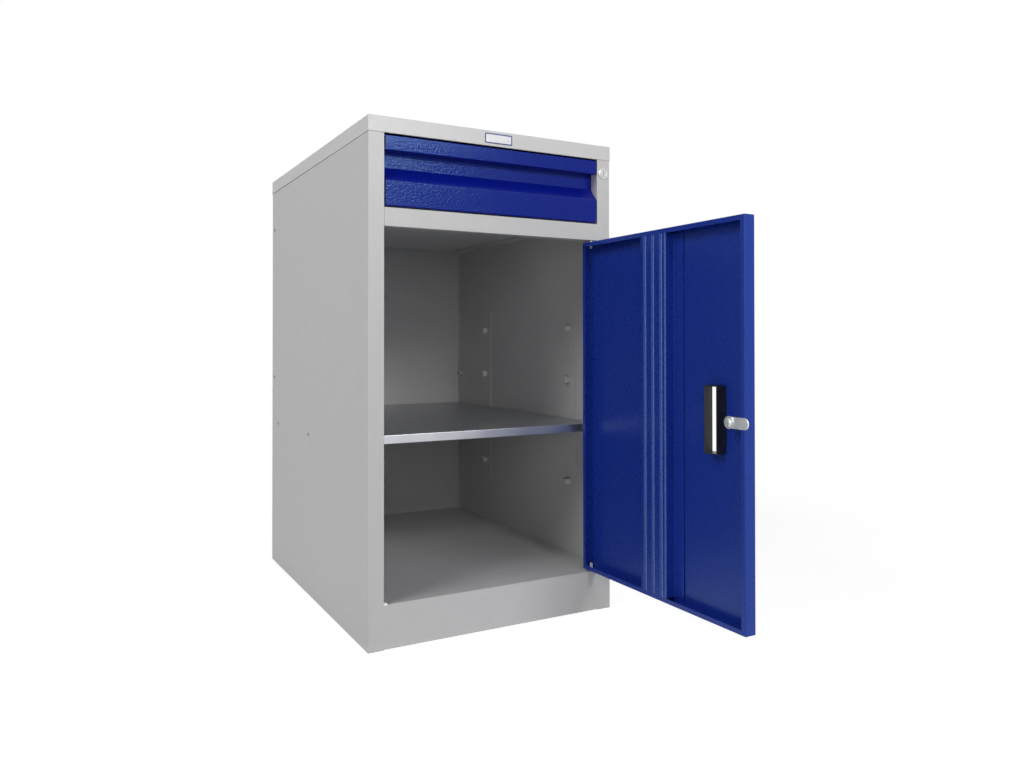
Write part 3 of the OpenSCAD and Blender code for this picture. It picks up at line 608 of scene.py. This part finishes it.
def copied(tree, geometry, points):
    """A geometry on every point, made real."""
    copies = add(tree, "GeometryNodeInstanceOnPoints", {"Points": points, "Instance": geometry})
    return add(tree, "GeometryNodeRealizeInstances", {0: copies})


def mirrored(tree, geometry):
    """The image on the cabinet's other side, with its faces still outwards."""
    image = add(tree, "GeometryNodeTransform", {0: geometry, "Scale": (-1.0, 1.0, 1.0)})
    return add(tree, "GeometryNodeFlipFaces", {0: image})


def row_of_points(tree, count, start, step):
    """Points in a line."""
    return add(tree, "GeometryNodeMeshLine", {"Count": count, "Start Location": start, "Offset": step})


def placed_line(tree, count, place):
    """A line of so many points, each put where its own number says."""
    line = add(tree, "GeometryNodeMeshLine", {"Count": count})
    return add(tree, "GeometryNodeSetPosition", {0: line, "Position": place})


# %% [markdown]
# ### A folded sheet as a rule
#
# Fold points become a line, Fillet Curve bends it round a radius, the line is drawn up along Z,
# and the surface gets its thickness by being drawn out along its normals and joined to its own
# back. The same few nodes make the door's stiffener and the lugs.


# %% Fold a line of points
def folded_sheet(tree, points, bend, length, thickness, low):
    """A sheet through a line of points: bent, drawn up from low by length, and thickened."""
    curve = add(tree, "GeometryNodeMeshToCurve", {0: points})
    fillet = {"Curve": curve, "Radius": bend, "Count": 4}
    bent = add(tree, "GeometryNodeFilletCurve", fillet, mode="POLY")
    line = moved(tree, add(tree, "GeometryNodeCurveToMesh", {0: bent}), 0, 0, low)
    up = {0: line, "Offset": xyz(tree, 0, 0, 1.0), "Offset Scale": length}
    sheet = add(tree, "GeometryNodeExtrudeMesh", up, mode="EDGES")
    thick = {0: sheet, "Offset Scale": thickness, "Individual": False}
    front = add(tree, "GeometryNodeExtrudeMesh", thick, mode="FACES")
    back = add(tree, "GeometryNodeFlipFaces", {0: sheet})
    closed = {0: joined(tree, front, back), "Distance": 1e-6}
    return add(tree, "GeometryNodeMergeByDistance", closed)


# %% [markdown]
# ### The door's stiffener
#
# A hat-shaped channel stands upright on the inside of the door, with three grooves pressed into
# its crown. Its section is a rule: two flanges, two walls, and a crown with a groove at every
# pitch. Each point finds its own place from its number along the line.

# %% The stiffener's sizes
DOOR_SHEET = 0.001
low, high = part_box("door_stiffener")
STIFFENER = {
    "Crown width": 0.0604, "Flange width": 0.023, "Height": high.x - low.x - DOOR_SHEET,
    "Groove count": 3, "Groove pitch": 0.020, "Groove width": 0.0052, "Groove depth": 0.002,
    "Bend": 0.0016, "Thickness": DOOR_SHEET, "Foot": low.z, "Length": high.z - low.z,
    "Middle": (low.y + high.y) / 2, "Base": high.x - DOOR_SHEET,
}
print("height of the crown:", round(STIFFENER["Height"], 4), "length:", round(STIFFENER["Length"], 4))

# %% [markdown]
# The rims of the grooves and the edge of the crown carry a painted highlight, where rounded folds
# would catch the lamps, so they look lighter than the flat. The door's paint is copied, and a lighter
# blue is mixed in by how near a point lies to such a line. The section's rule says where the lines
# are, and noise breaks them up.

# %% The painted highlights over the pressed lines
# The light blue of the painted highlights, and how strongly each kind of line shows it.
HIGHLIGHT_BLUE = (0.26, 0.385, 0.62)
GROOVE_SHARE = 0.16
CROWN_EDGE = 0.0013
CROWN_EDGE_SHARE = 0.30


def on_line(value, centre, half):
    """1 on a line, fading to 0 at half its width from the centre."""
    return spread(abs(value - centre), 1.0, 0.0, start=0.5 * half, end=half)


def highlighted_paint():
    """The door's paint, with a painted highlight along the pressed lines."""
    material = door_paint.copy()
    material.name = "stiffener_powder_coat"
    tree = material.node_tree
    parts = add_node(tree, "ShaderNodeSeparateXYZ", {0: place_of(tree)}).outputs
    off_middle = Number(parts[0]) - (STIFFENER["Base"] - STIFFENER["Height"] / 2)
    along = Number(parts[1]) - STIFFENER["Middle"]
    # The nearest groove, counted from the middle one, and how far off it a point lies.
    pitch, last = STIFFENER["Groove pitch"], (STIFFENER["Groove count"] - 1) / 2
    number = maths("ROUND", along / pitch)
    number = maths("MINIMUM", maths("MAXIMUM", number, -last), last)
    off_groove = along - number * pitch
    rim = on_line(off_groove, centre=-0.0030, half=0.0014)
    groove = on_line(off_groove, centre=0.0003, half=0.0030) * GROOVE_SHARE
    edge = on_line(along, centre=-STIFFENER["Crown width"] / 2, half=CROWN_EDGE)
    at_crown_or_foot = abs(off_middle) > STIFFENER["Height"] / 2 - CROWN_EDGE
    edge = edge * at_crown_or_foot * CROWN_EDGE_SHARE
    # The painted highlight: the strongest of the three lines at a point, broken up by noise.
    painted_highlight = maths("MAXIMUM", maths("MAXIMUM", rim, groove), edge)
    speckle = spread(noise(place_of(tree), scale=330.0, detail=1.0, rough=0.5), 0.45, 1.0)
    colour = tree.nodes["Principled BSDF"].inputs["Base Color"]
    full = colour.links[0].from_socket
    wire(between(painted_highlight * speckle, full, (*HIGHLIGHT_BLUE, 1.0)), colour)
    return material


# The stiffener's paint, with its painted highlights.
stiffener_paint = highlighted_paint()
print("paint:", stiffener_paint.name, len(stiffener_paint.node_tree.nodes), "nodes")


# %% The stiffener's tree
def stiffener_tree():
    """The section's points stand at Y along the door and X off its skin."""
    tree, size, out = new_tree("stiffener", STIFFENER)
    count = size["Groove count"] * 4 + 6
    index = Number(add(tree, "GeometryNodeInputIndex"))
    # The groove that a point belongs to, and its corner there, from -1.5 to 1.5.
    inner = index - 3
    groove = maths("FLOOR", inner / 4)
    corner = inner % 4 - 1.5
    centre = (groove - (size["Groove count"] - 1) / 2) * size["Groove pitch"]
    on_rim = abs(corner) > 1.0
    # The rim's corners stand half the groove's width off its middle, and the floor's 0.15 of it.
    offset = (on_rim * 0.35 + 0.15) * size["Groove width"] * maths("SIGN", corner)
    sunk = (1 - on_rim) * size["Groove depth"]
    # The first and last three points are the flange's edge, the wall's foot and its top.
    middle = (count - 1) / 2
    from_middle = index - middle
    beyond = abs(from_middle) - (middle - 3)
    is_end, is_low, is_edge = (beyond > limit for limit in (0.5, 1.5, 2.5))
    end_y = maths("SIGN", from_middle) * (size["Crown width"] / 2 + is_edge * size["Flange width"])
    ends = {0: is_end, 2: centre + offset, 3: end_y}
    across = add(tree, "ShaderNodeMix", ends, data_type="FLOAT")
    height = (size["Height"] - sunk * (1 - is_end)) * (1 - is_low)
    points = placed_line(tree, count, xyz(tree, size["Base"] - height, size["Middle"] + across, 0))
    sheet = folded_sheet(tree, points, size["Bend"], size["Length"], size["Thickness"], size["Foot"])
    close_tree(tree, out, sheet, stiffener_paint)
    return tree


# %% The stiffener
# The tree has bent the folds already. No metal runs on for 9 m, so every edge left counts as a cut.
NO_FOLDS = 9.0
mesh = run_tree(stiffener_tree(), STIFFENER)
mesh, counts = rounded(mesh, fold=0.0002, cut=0.0002, wide=NO_FOLDS, steps=2)
hand_over("door_stiffener_pressed", mesh, "door", ["door_stiffener"])
print("stiffener:", len(mesh.polygons), "faces,", counts["cut edges"], "cut edges")

# %% [markdown]
# ### Lug strips
#
# Four upright strips are welded to the side walls. At every pitch a lance cuts the strip above and
# below a lug, and the lug is pushed out into a small bridge that a shelf can rest on. The tree
# punches the windows, folds one lug, sets both out along the strip and puts the strip at its four
# places. All sixteen lugs come from six points and a pitch.

# %% The lug strips' sizes
STRIP_SHEET, WINDOW_DEPTH = 0.0012, 0.01
low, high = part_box("right_front_lug_strip")
rear_low, rear_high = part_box("right_rear_lug_strip")
STRIPS = {
    "Wall": high.x, "Thickness": STRIP_SHEET, "Width": high.y - low.y, "Foot": low.z,
    "Length": high.z - low.z, "Front": (low.y + high.y) / 2, "Rear": (rear_low.y + rear_high.y) / 2,
    "Lug count": 4, "Lug pitch": 0.100, "First lug": 0.049, "Lug width": 0.016, "Lug height": 0.011,
    "Lug reach": high.x - low.x - STRIP_SHEET, "Lug slope": 0.002, "Lance gap": 0.003, "Bend": 0.0012,
}
print("lugs stand out by", round(STRIPS["Lug reach"], 4), "m from a wall at", round(STRIPS["Wall"], 4))


# %% The lug strips' tree
def punched_strip(tree, size, places):
    """The flat strip at Y 0 and Z 0, with the window that the lances leave at each place."""
    middle_x = size["Wall"] - size["Thickness"] / 2
    strip = xyz(tree, size["Thickness"], size["Width"], size["Length"])
    strip = add(tree, "GeometryNodeMeshCube", {"Size": strip})
    strip = moved(tree, strip, middle_x, 0, size["Length"] / 2)
    window_width = size["Lug width"] - size["Thickness"] * 2
    window_height = size["Lug height"] + size["Lance gap"] * 2
    window = xyz(tree, WINDOW_DEPTH, window_width, window_height)
    window = moved(tree, add(tree, "GeometryNodeMeshCube", {"Size": window}), middle_x)
    cut = {"Mesh 1": strip, "Mesh 2": copied(tree, window, places)}
    return add(tree, "GeometryNodeMeshBoolean", cut, operation="DIFFERENCE")


def bridge_lug(tree, size):
    """One lug, folded through six points: two roots in the strip, two feet and a crown of two."""
    index = Number(add(tree, "GeometryNodeInputIndex"))
    from_middle = index - 2.5
    is_crown = abs(from_middle) < 1.0
    is_root = abs(from_middle) > 2.0
    out_by = is_crown * size["Lug reach"] - is_root * size["Thickness"]
    half_width = size["Lug width"] / 2 - is_crown * size["Lug slope"]
    face_x = size["Wall"] - size["Thickness"]
    place = xyz(tree, face_x - out_by, maths("SIGN", from_middle) * half_width, 0)
    points = placed_line(tree, 6, place)
    low = size["Lug height"] / -2
    return folded_sheet(tree, points, size["Bend"], size["Lug height"], size["Thickness"], low)


def strips_tree():
    """The right front strip and the right rear one, then their mirror images."""
    tree, size, out = new_tree("lug_strips", STRIPS)
    first, step = (xyz(tree, 0, 0, size[label]) for label in ("First lug", "Lug pitch"))
    places = row_of_points(tree, size["Lug count"], first, step)
    strip = joined(tree, punched_strip(tree, size, places), copied(tree, bridge_lug(tree, size), places))
    right = joined(tree, *(moved(tree, strip, 0, size[at], size["Foot"]) for at in ("Front", "Rear")))
    close_tree(tree, out, joined(tree, right, mirrored(tree, right)), grey_paint)
    return tree


# %% The lug strips
mesh, counts = rounded(run_tree(strips_tree(), STRIPS), fold=0.00025, cut=0.00025, wide=NO_FOLDS, steps=2)
hand_over("lug_strips_punched", mesh, "carcass",
          [f"{side}_{end}_lug_strip" for side in ("left", "right") for end in ("front", "rear")])
print("lug strips:", len(mesh.polygons), "faces,", counts["cut edges"], "cut edges")

# %% [markdown]
# ### Turned parts
#
# Screws, rivet nuts and balls are turned, so each is one outline swept round an axis. The outline
# holds the thread, which is a row of small ridges. A cross recess is then sunk in each head.

# %% Sweep an outline round an axis
MM = 0.001


def mesh_of(bm, name):
    """What was built, as a mesh with a name."""
    mesh = bpy.data.meshes.new(name)
    bm.to_mesh(mesh)
    bm.free()
    return mesh


def turned(outline, axis, segments=24):
    """A mesh of (height, radius) points in millimetres, a closed loop or one that ends on the axis."""
    along = Vector(axis)
    side = Vector((0, 0, 1))
    third = along.cross(side)
    turns = [2 * math.pi * k / segments for k in range(segments)]
    spokes = [side * math.cos(t) + third * math.sin(t) for t in turns]
    bm = bmesh.new()
    rings = [[bm.verts.new(MM * (along * height + spoke * radius)) for spoke in spokes]
             for height, radius in outline]
    closed = outline[0][1] > 0
    for a, b in zip(rings, rings[1:] + rings[:1] if closed else rings[1:]):
        for k in range(segments):
            bm.faces.new((a[k], a[k - 1], b[k - 1], b[k]))
    bmesh.ops.remove_doubles(bm, verts=bm.verts, dist=1e-7)
    bmesh.ops.dissolve_degenerate(bm, edges=bm.edges, dist=1e-7)
    bmesh.ops.recalc_face_normals(bm, faces=bm.faces)
    return mesh_of(bm, "turned")


def thread(start, end, radius, pitch=0.8, depth=0.35):
    """The ridges of a thread, as outline points from one height to another."""
    count = int(abs(end - start) / pitch)
    step = (end - start) / count
    return [(start + step * (k + half / 2), radius - depth * half) for k in range(count) for half in (0, 1)]


# %% Sink a cross in a head
def cross_cutter(axis, top, width, span, depth):
    """Two tapered bars, crossed over each other, in the top of a head."""
    along, side = Vector(axis), Vector((0, 0, 1))
    third = along.cross(side)
    bm = bmesh.new()
    for long, short in ((side, third), (third, side)):
        corners = []
        for height, taper in ((top + 0.5, 1.15), (top - depth, 0.55)):
            for a, b in ((-1, -1), (1, -1), (1, 1), (-1, 1)):
                point = along * height + long * (a * span / 2 * taper) + short * (b * width / 2 * taper)
                corners.append(bm.verts.new(MM * point))
        for ring in ((0, 1, 2, 3), (7, 6, 5, 4), (0, 4, 5, 1), (1, 5, 6, 2), (2, 6, 7, 3), (3, 7, 4, 0)):
            bm.faces.new([corners[k] for k in ring])
    bmesh.ops.recalc_face_normals(bm, faces=bm.faces)
    return mesh_of(bm, "cross")


def cross_recess(mesh, axis, top, width=0.9, span=3.6, depth=1.1):
    """Sinks a cross into a head whose top is at a height in millimetres."""
    cutter = holder_of(cross_cutter(axis, top, width, span, depth))
    holder = holder_of(mesh)
    sink = holder.modifiers.new("Cross", "BOOLEAN")
    sink.operation, sink.solver, sink.object, sink.use_self = "DIFFERENCE", "EXACT", cutter, True
    made = as_plain_mesh(holder)
    bpy.data.objects.remove(cutter)
    return made


# %% [markdown]
# ### Setting parts out in rows
#
# One tree sets any part out along a line, repeats the line as a second row where asked, and adds
# the mirror image on the cabinet's other side. The part comes in by an Object Info node.

# %% The tree for rows
CREASE = math.radians(32)
ROW_SIZES = {
    "Start X": 0.0, "Start Y": 0.0, "Start Z": 0.0, "Step X": 0.0, "Step Y": 0.0, "Step Z": 0.0,
    "Count": 1, "Rows": 1, "Row step": 0.0, "Mirrored": 1,
}


def rows_tree(part, material):
    """Parts along a line, in rows, on one side or both."""
    tree, size, out = new_tree("rows", ROW_SIZES)
    source = add_node(tree, "GeometryNodeObjectInfo", {"Object": part}, transform_space="ORIGINAL")
    start, step = (xyz(tree, *(size[f"{what} {axis}"] for axis in "XYZ")) for what in ("Start", "Step"))
    line = row_of_points(tree, size["Count"], start, step)
    rows = row_of_points(tree, size["Rows"], (0.0, 0.0, 0.0), xyz(tree, 0, 0, size["Row step"]))
    right = copied(tree, source.outputs["Geometry"], copied(tree, line, rows))
    sides = {"Switch": size["Mirrored"], "False": right, "True": joined(tree, right, mirrored(tree, right))}
    chosen = add(tree, "GeometryNodeSwitch", sides, input_type="GEOMETRY")
    close_tree(tree, out, chosen, material)
    return tree


def in_rows(mesh, material, **sizes):
    """One part's mesh, set out in rows. Sizes are written as the tree's inputs."""
    mesh.shade_smooth()
    mesh.set_sharp_from_angle(angle=CREASE)
    part = holder_of(mesh)
    given = {name.replace("_", " "): value for name, value in sizes.items()}
    made = run_tree(rows_tree(part, material), {**ROW_SIZES, **given})
    bpy.data.objects.remove(part)
    return made


def together(*meshes):
    """Several meshes as one."""
    bm = bmesh.new()
    for mesh in meshes:
        bm.from_mesh(mesh)
    made = mesh_of(bm, "together")
    for material in meshes[0].materials:
        made.materials.append(material)
    return made


# %% [markdown]
# ### Rivet nuts
#
# Threaded rivet nuts sit in the side walls to bolt cabinets to each other or to a wall. Outside
# one sees a low collar with a threaded bore, inside the bulge that holds it and its barrel. They
# were set before painting, so they are as grey as the walls. Their threads are near black, which is
# painted shade: the dark inside the narrow bores. Heights count from the outer face.

# %% The rivet nuts
FACE = [(0.2, 2.5), (0.5, 2.8), (0.5, 4.9), (0.38, 5.25), (0.15, 5.4), (0.0, 5.4), (0.0, 4.4)]
BULGE = [(-1.2, 4.4), (-1.2, 5.0), (-1.7, 5.4), (-3.1, 5.35), (-4.0, 4.9), (-4.2, 4.4)]
BARREL = [(-10.6, 4.4), (-11.0, 4.0), (-11.0, 2.85), (-10.6, 2.5)]
rivet_nut = turned(FACE + BULGE + BARREL + thread(-10.2, 0.0, 2.5, pitch=1.0, depth=-0.28), (1, 0, 0))

COLLAR_RADIUS, COLLAR_HEIGHT = 0.0054, 0.0005
NUT_STEP_Y, NUT_STEP_Z = 0.242, 0.324
nuts_low, nuts_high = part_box("right_rivet_nuts")
outer_face = nuts_high.x - COLLAR_HEIGHT
low_y, low_z = nuts_low.y + COLLAR_RADIUS, nuts_low.z + COLLAR_RADIUS
rear_y, rear_z = nuts_high.y - COLLAR_RADIUS, nuts_high.z - COLLAR_RADIUS - NUT_STEP_Z
low_pair = in_rows(rivet_nut.copy(), grey_paint, Start_X=outer_face, Start_Y=low_y, Start_Z=low_z,
                   Step_Y=NUT_STEP_Y, Count=2)
rear_pair = in_rows(rivet_nut, grey_paint, Start_X=outer_face, Start_Y=rear_y, Start_Z=rear_z,
                    Step_Z=NUT_STEP_Z, Count=2)
nuts = hand_over("rivet_nuts_turned", together(low_pair, rear_pair), "carcass",
                 ["left_rivet_nuts", "right_rivet_nuts"], [grey_paint, bore_shade_finish])

# %% The painted shade on the nuts' threads
BORE_RADIUS = 0.0029
axes = [(low_y, low_z), (low_y + NUT_STEP_Y, low_z), (rear_y, rear_z), (rear_y, rear_z + NUT_STEP_Z)]
# Faces round each nut's axis, its threads, take the near-black finish: painted shade in the bore.
for face in nuts.data.polygons:
    off_axis = min(math.hypot(face.center.y - y, face.center.z - z) for y, z in axes)
    face.material_index = 1 if off_axis < BORE_RADIUS else 0
dark = sum(face.material_index for face in nuts.data.polygons)
print("rivet nuts:", len(nuts.data.polygons), "faces,", dark, "of them dark")

# %% [markdown]
# ### Screws
#
# Countersunk screws hold the outer rails, so that the middle rail can pass. Pan heads hold the
# inner rails. The drawer's front has welded studs, with hexagon nuts inside the drawer.

# %% The screws' outlines, in millimetres
HEAD = 2.2
SUNK = [(0.0, 0.0), (0.0, 3.0), (-0.12, 3.15), (-1.2, 2.0)]
SUNK_TIP = [(-7.1, 1.6), (-7.4, 0.0)]
DOME = [(HEAD, 0.0), (2.15, 1.2), (1.95, 2.3), (1.5, 3.1), (0.9, 3.52), (0.25, 3.6), (0.0, 3.5), (0.0, 2.0)]
DOME_TIP = [(-6.9, 1.6), (-7.2, 0.0)]
NUT = [(0.0, 2.0), (0.0, 3.45), (0.12, 3.6), (2.0, 3.6), (HEAD, 3.3), (HEAD, 2.0)]
STUD = [(HEAD, 0.0), (HEAD, 1.7)] + thread(1.9, -0.7, 2.0) + [(-0.9, 2.0), (-1.0, 2.0), (-1.0, 0.0)]
sunk_screw = turned(SUNK + thread(-1.4, -6.9, 2.0) + SUNK_TIP, (-1, 0, 0))
sunk_screw = cross_recess(sunk_screw, (-1, 0, 0), 0.0)
pan_screw = turned(DOME + thread(-0.3, -6.7, 2.0) + DOME_TIP, (1, 0, 0))
pan_screw = cross_recess(pan_screw, (1, 0, 0), HEAD)
nut_and_stud = together(turned(NUT, (0, 1, 0), segments=6), turned(STUD, (0, 1, 0)))
print("faces:", *(len(mesh.polygons) for mesh in (sunk_screw, pan_screw, nut_and_stud)))

# %% The screws of the rails
RAIL_SHEET = 0.0012
RAIL_SCREWS = 3
rail_low, rail_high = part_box("right_outer_rail")
pans_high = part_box("inner_rail_screws")[1]
rail_length = rail_high.y - rail_low.y
rail_row = {"Start_Y": rail_low.y + 0.1 * rail_length, "Step_Y": 0.4 * rail_length, "Count": RAIL_SCREWS,
            "Start_Z": (rail_low.z + rail_high.z) / 2}
mesh = in_rows(sunk_screw, zinc, Start_X=rail_high.x - RAIL_SHEET, **rail_row)
hand_over("outer_rail_screws_turned", mesh, "carcass", ["outer_rail_screws"])
mesh = in_rows(pan_screw, zinc, Start_X=pans_high.x - MM * HEAD, **rail_row)
hand_over("inner_rail_screws_turned", mesh, "drawer", ["inner_rail_screws"])
print("rail screws:", 4 * RAIL_SCREWS, "on a rail of", round(rail_length, 3), "m")

# %% The studs of the drawer's front
NUT_RADIUS = 0.0036
STUDS = 4
low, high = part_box("drawer_front_studs")
stud_step = (high.x - low.x - 2 * NUT_RADIUS) / (STUDS - 1)
mesh = in_rows(nut_and_stud, zinc, Start_X=low.x + NUT_RADIUS, Step_X=stud_step, Count=STUDS,
               Start_Y=high.y - MM * HEAD, Start_Z=(low.z + high.z) / 2, Mirrored=0)
hand_over("drawer_front_studs_turned", mesh, "drawer", ["drawer_front_studs"])
print("studs:", STUDS, "at a step of", round(stud_step, 3), "m")

# %% [markdown]
# ### Balls
#
# Each slide runs on four rows of balls, held apart by the cages. A ball is turned too: its outline
# is half a circle. It has few faces, because there are many balls.

# %% The balls
HALF_TURN = 12
BALLS = 6
for name, body, radius in (("outer_balls", "outer_cages", 1.95), ("inner_balls", "inner_cages", 1.85)):
    low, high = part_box(name)
    outline = [(radius * math.cos(math.pi * k / HALF_TURN),
                radius * math.sin(math.pi * k / HALF_TURN) if 0 < k < HALF_TURN else 0.0)
               for k in range(HALF_TURN + 1)]
    reach = MM * radius
    mesh = in_rows(turned(outline, (1, 0, 0), segments=20), ball_steel, Start_X=high.x - reach,
                   Start_Y=low.y + reach, Step_Y=(high.y - low.y - 2 * reach) / (BALLS - 1), Count=BALLS,
                   Start_Z=low.z + reach, Rows=2, Row_step=high.z - low.z - 2 * reach)
    hand_over(name + "_polished", mesh, body, [name])
    print(name, len(mesh.polygons), "faces")

# %% [markdown]
# ## Floor, light and background
#
# The photograph is a cut-out on white. The world is white for the camera and for reflections, and
# a plain dim light for everything else. The floor is white to the camera too, but some of that
# white is light that falls on it, so the cabinet's shadow stays. Away from the cabinet the floor
# glows fully, which hides the horizon.

# %% The world
AMBIENT = 0.03


def seen_directly(tree):
    """1 for rays from the camera, off a shiny surface or through a clear one."""
    rays = add_node(tree, "ShaderNodeLightPath").outputs
    some = maths("MAXIMUM", Number(rays["Is Camera Ray"]), rays["Is Glossy Ray"])
    return maths("MAXIMUM", some, rays["Is Transmission Ray"])


world = bpy.data.worlds.new("studio")
scene.world = world
world.use_nodes = True
tree = world.node_tree
tree.nodes.clear()
dim = add(tree, "ShaderNodeBackground", {"Color": (0.98, 0.99, 1.0, 1.0), "Strength": AMBIENT})
white = add(tree, "ShaderNodeBackground", {"Color": (1.0, 1.0, 1.0, 1.0), "Strength": 1.0})
shown = add(tree, "ShaderNodeMixShader", {0: seen_directly(tree), 1: dim, 2: white})
add_node(tree, "ShaderNodeOutputWorld", {0: shown})
print("the world lights with", AMBIENT)

# %% The floor's finish
NEAR, FAR = 0.8, 1.7
NEAR_GLOW = 0.74
floor_finish = bpy.data.materials.new("studio_floor")
floor_finish.use_nodes = True
tree = floor_finish.node_tree
tree.nodes.clear()
where = add_node(tree, "ShaderNodeTexCoord").outputs["Object"]
distance = add_node(tree, "ShaderNodeVectorMath", {0: where}, operation="LENGTH").outputs["Value"]
ramp = {"Value": distance, "From Min": NEAR, "From Max": FAR, "To Min": 0.0, "To Max": 1.0}
far = add(tree, "ShaderNodeMapRange", ramp, interpolation_type="SMOOTHSTEP")
matt = add(tree, "ShaderNodeBsdfDiffuse", {0: (0.70, 0.70, 0.70, 1.0)})
near_matt = add(tree, "ShaderNodeBsdfDiffuse", {0: (0.55, 0.55, 0.55, 1.0)})
near_glow = add(tree, "ShaderNodeEmission", {0: (1.0, 1.0, 1.0, 1.0), 1: NEAR_GLOW})
glow = add(tree, "ShaderNodeEmission", {0: (1.0, 1.0, 1.0, 1.0), 1: 1.0})
near = add(tree, "ShaderNodeAddShader", {0: near_matt, 1: near_glow})
shown = add(tree, "ShaderNodeMixShader", {0: far, 1: near, 2: glow})
both = add(tree, "ShaderNodeMixShader", {0: seen_directly(tree), 1: matt, 2: shown})
add_node(tree, "ShaderNodeOutputMaterial", {0: both})
print("the floor glows fully from", FAR, "m")

# %% The floor
FLOOR = 60.0
corners = [(-FLOOR, -FLOOR, 0), (FLOOR, -FLOOR, 0), (FLOOR, FLOOR, 0), (-FLOOR, FLOOR, 0)]
floor_mesh = bpy.data.meshes.new("floor")
floor_mesh.from_pydata(corners, [], [(0, 1, 2, 3)])
floor_mesh.materials.append(floor_finish)
floor = bpy.data.objects.new("studio_floor", floor_mesh)
scene.collection.objects.link(floor)
print("the floor is", 2 * FLOOR, "m wide")

# %% [markdown]
# ## Lamps
#
# The key lamps stand in front, above the height at which the drawer mirrors them to the camera, so
# its left end carries a soft highlight that fades to the right. A broad high lamp opens the left
# wall and the door, weak ones reach into the cupboard, and one behind serves the views from there.
# One lamp after another was rendered alone, and their strengths were fitted so that the sum comes
# near the photograph's tones.


# %% The lamps
def lamp(name, place, target, size, power):
    """A square soft lamp turned to a point."""
    data = bpy.data.lights.new(name, "AREA")
    data.shape, data.size, data.energy = "SQUARE", size, power
    made = bpy.data.objects.new(name, data)
    made.location = place
    made.rotation_euler = (Vector(target) - Vector(place)).to_track_quat("-Z", "Y").to_euler()
    scene.collection.objects.link(made)


# Each lamp's place, the point that it is turned to, the length of its side, and its watts.
FRONT = (0.0, -0.3, 0.5)
LAMPS = {
    "key": ((0.1, -3.2, 1.9), FRONT, 0.9, 24.0),
    "key_right": ((0.85, -3.2, 1.88), FRONT, 0.6, 20.0),
    "front": ((0.3, -3.2, 1.45), FRONT, 1.4, 8.5),
    "front_low": ((-1.2, -3.0, 1.0), FRONT, 1.0, 4.8),
    "by_camera": ((-0.9, -2.3, 0.9), FRONT, 0.8, 1.5),
    "left_high": ((-2.8, -1.0, 2.7), (0.0, -0.2, 0.5), 1.6, 58.0),
    "left_low": ((-2.0, -1.8, 0.5), (0.1, -0.4, 0.4), 1.0, 2.4),
    "right": ((3.2, -0.8, 1.5), (0.0, 0.0, 0.5), 2.2, 8.4),
    "behind": ((0.8, 3.4, 1.8), (0.0, 0.3, 0.5), 1.8, 42.0),
}
for name, settings in LAMPS.items():
    lamp(name, *settings)
print("lamps:", len(LAMPS))

# %% [markdown]
# ## Settings
#
# Colours are shown as written.

# %% Finish
scene.view_settings.view_transform = "Standard"
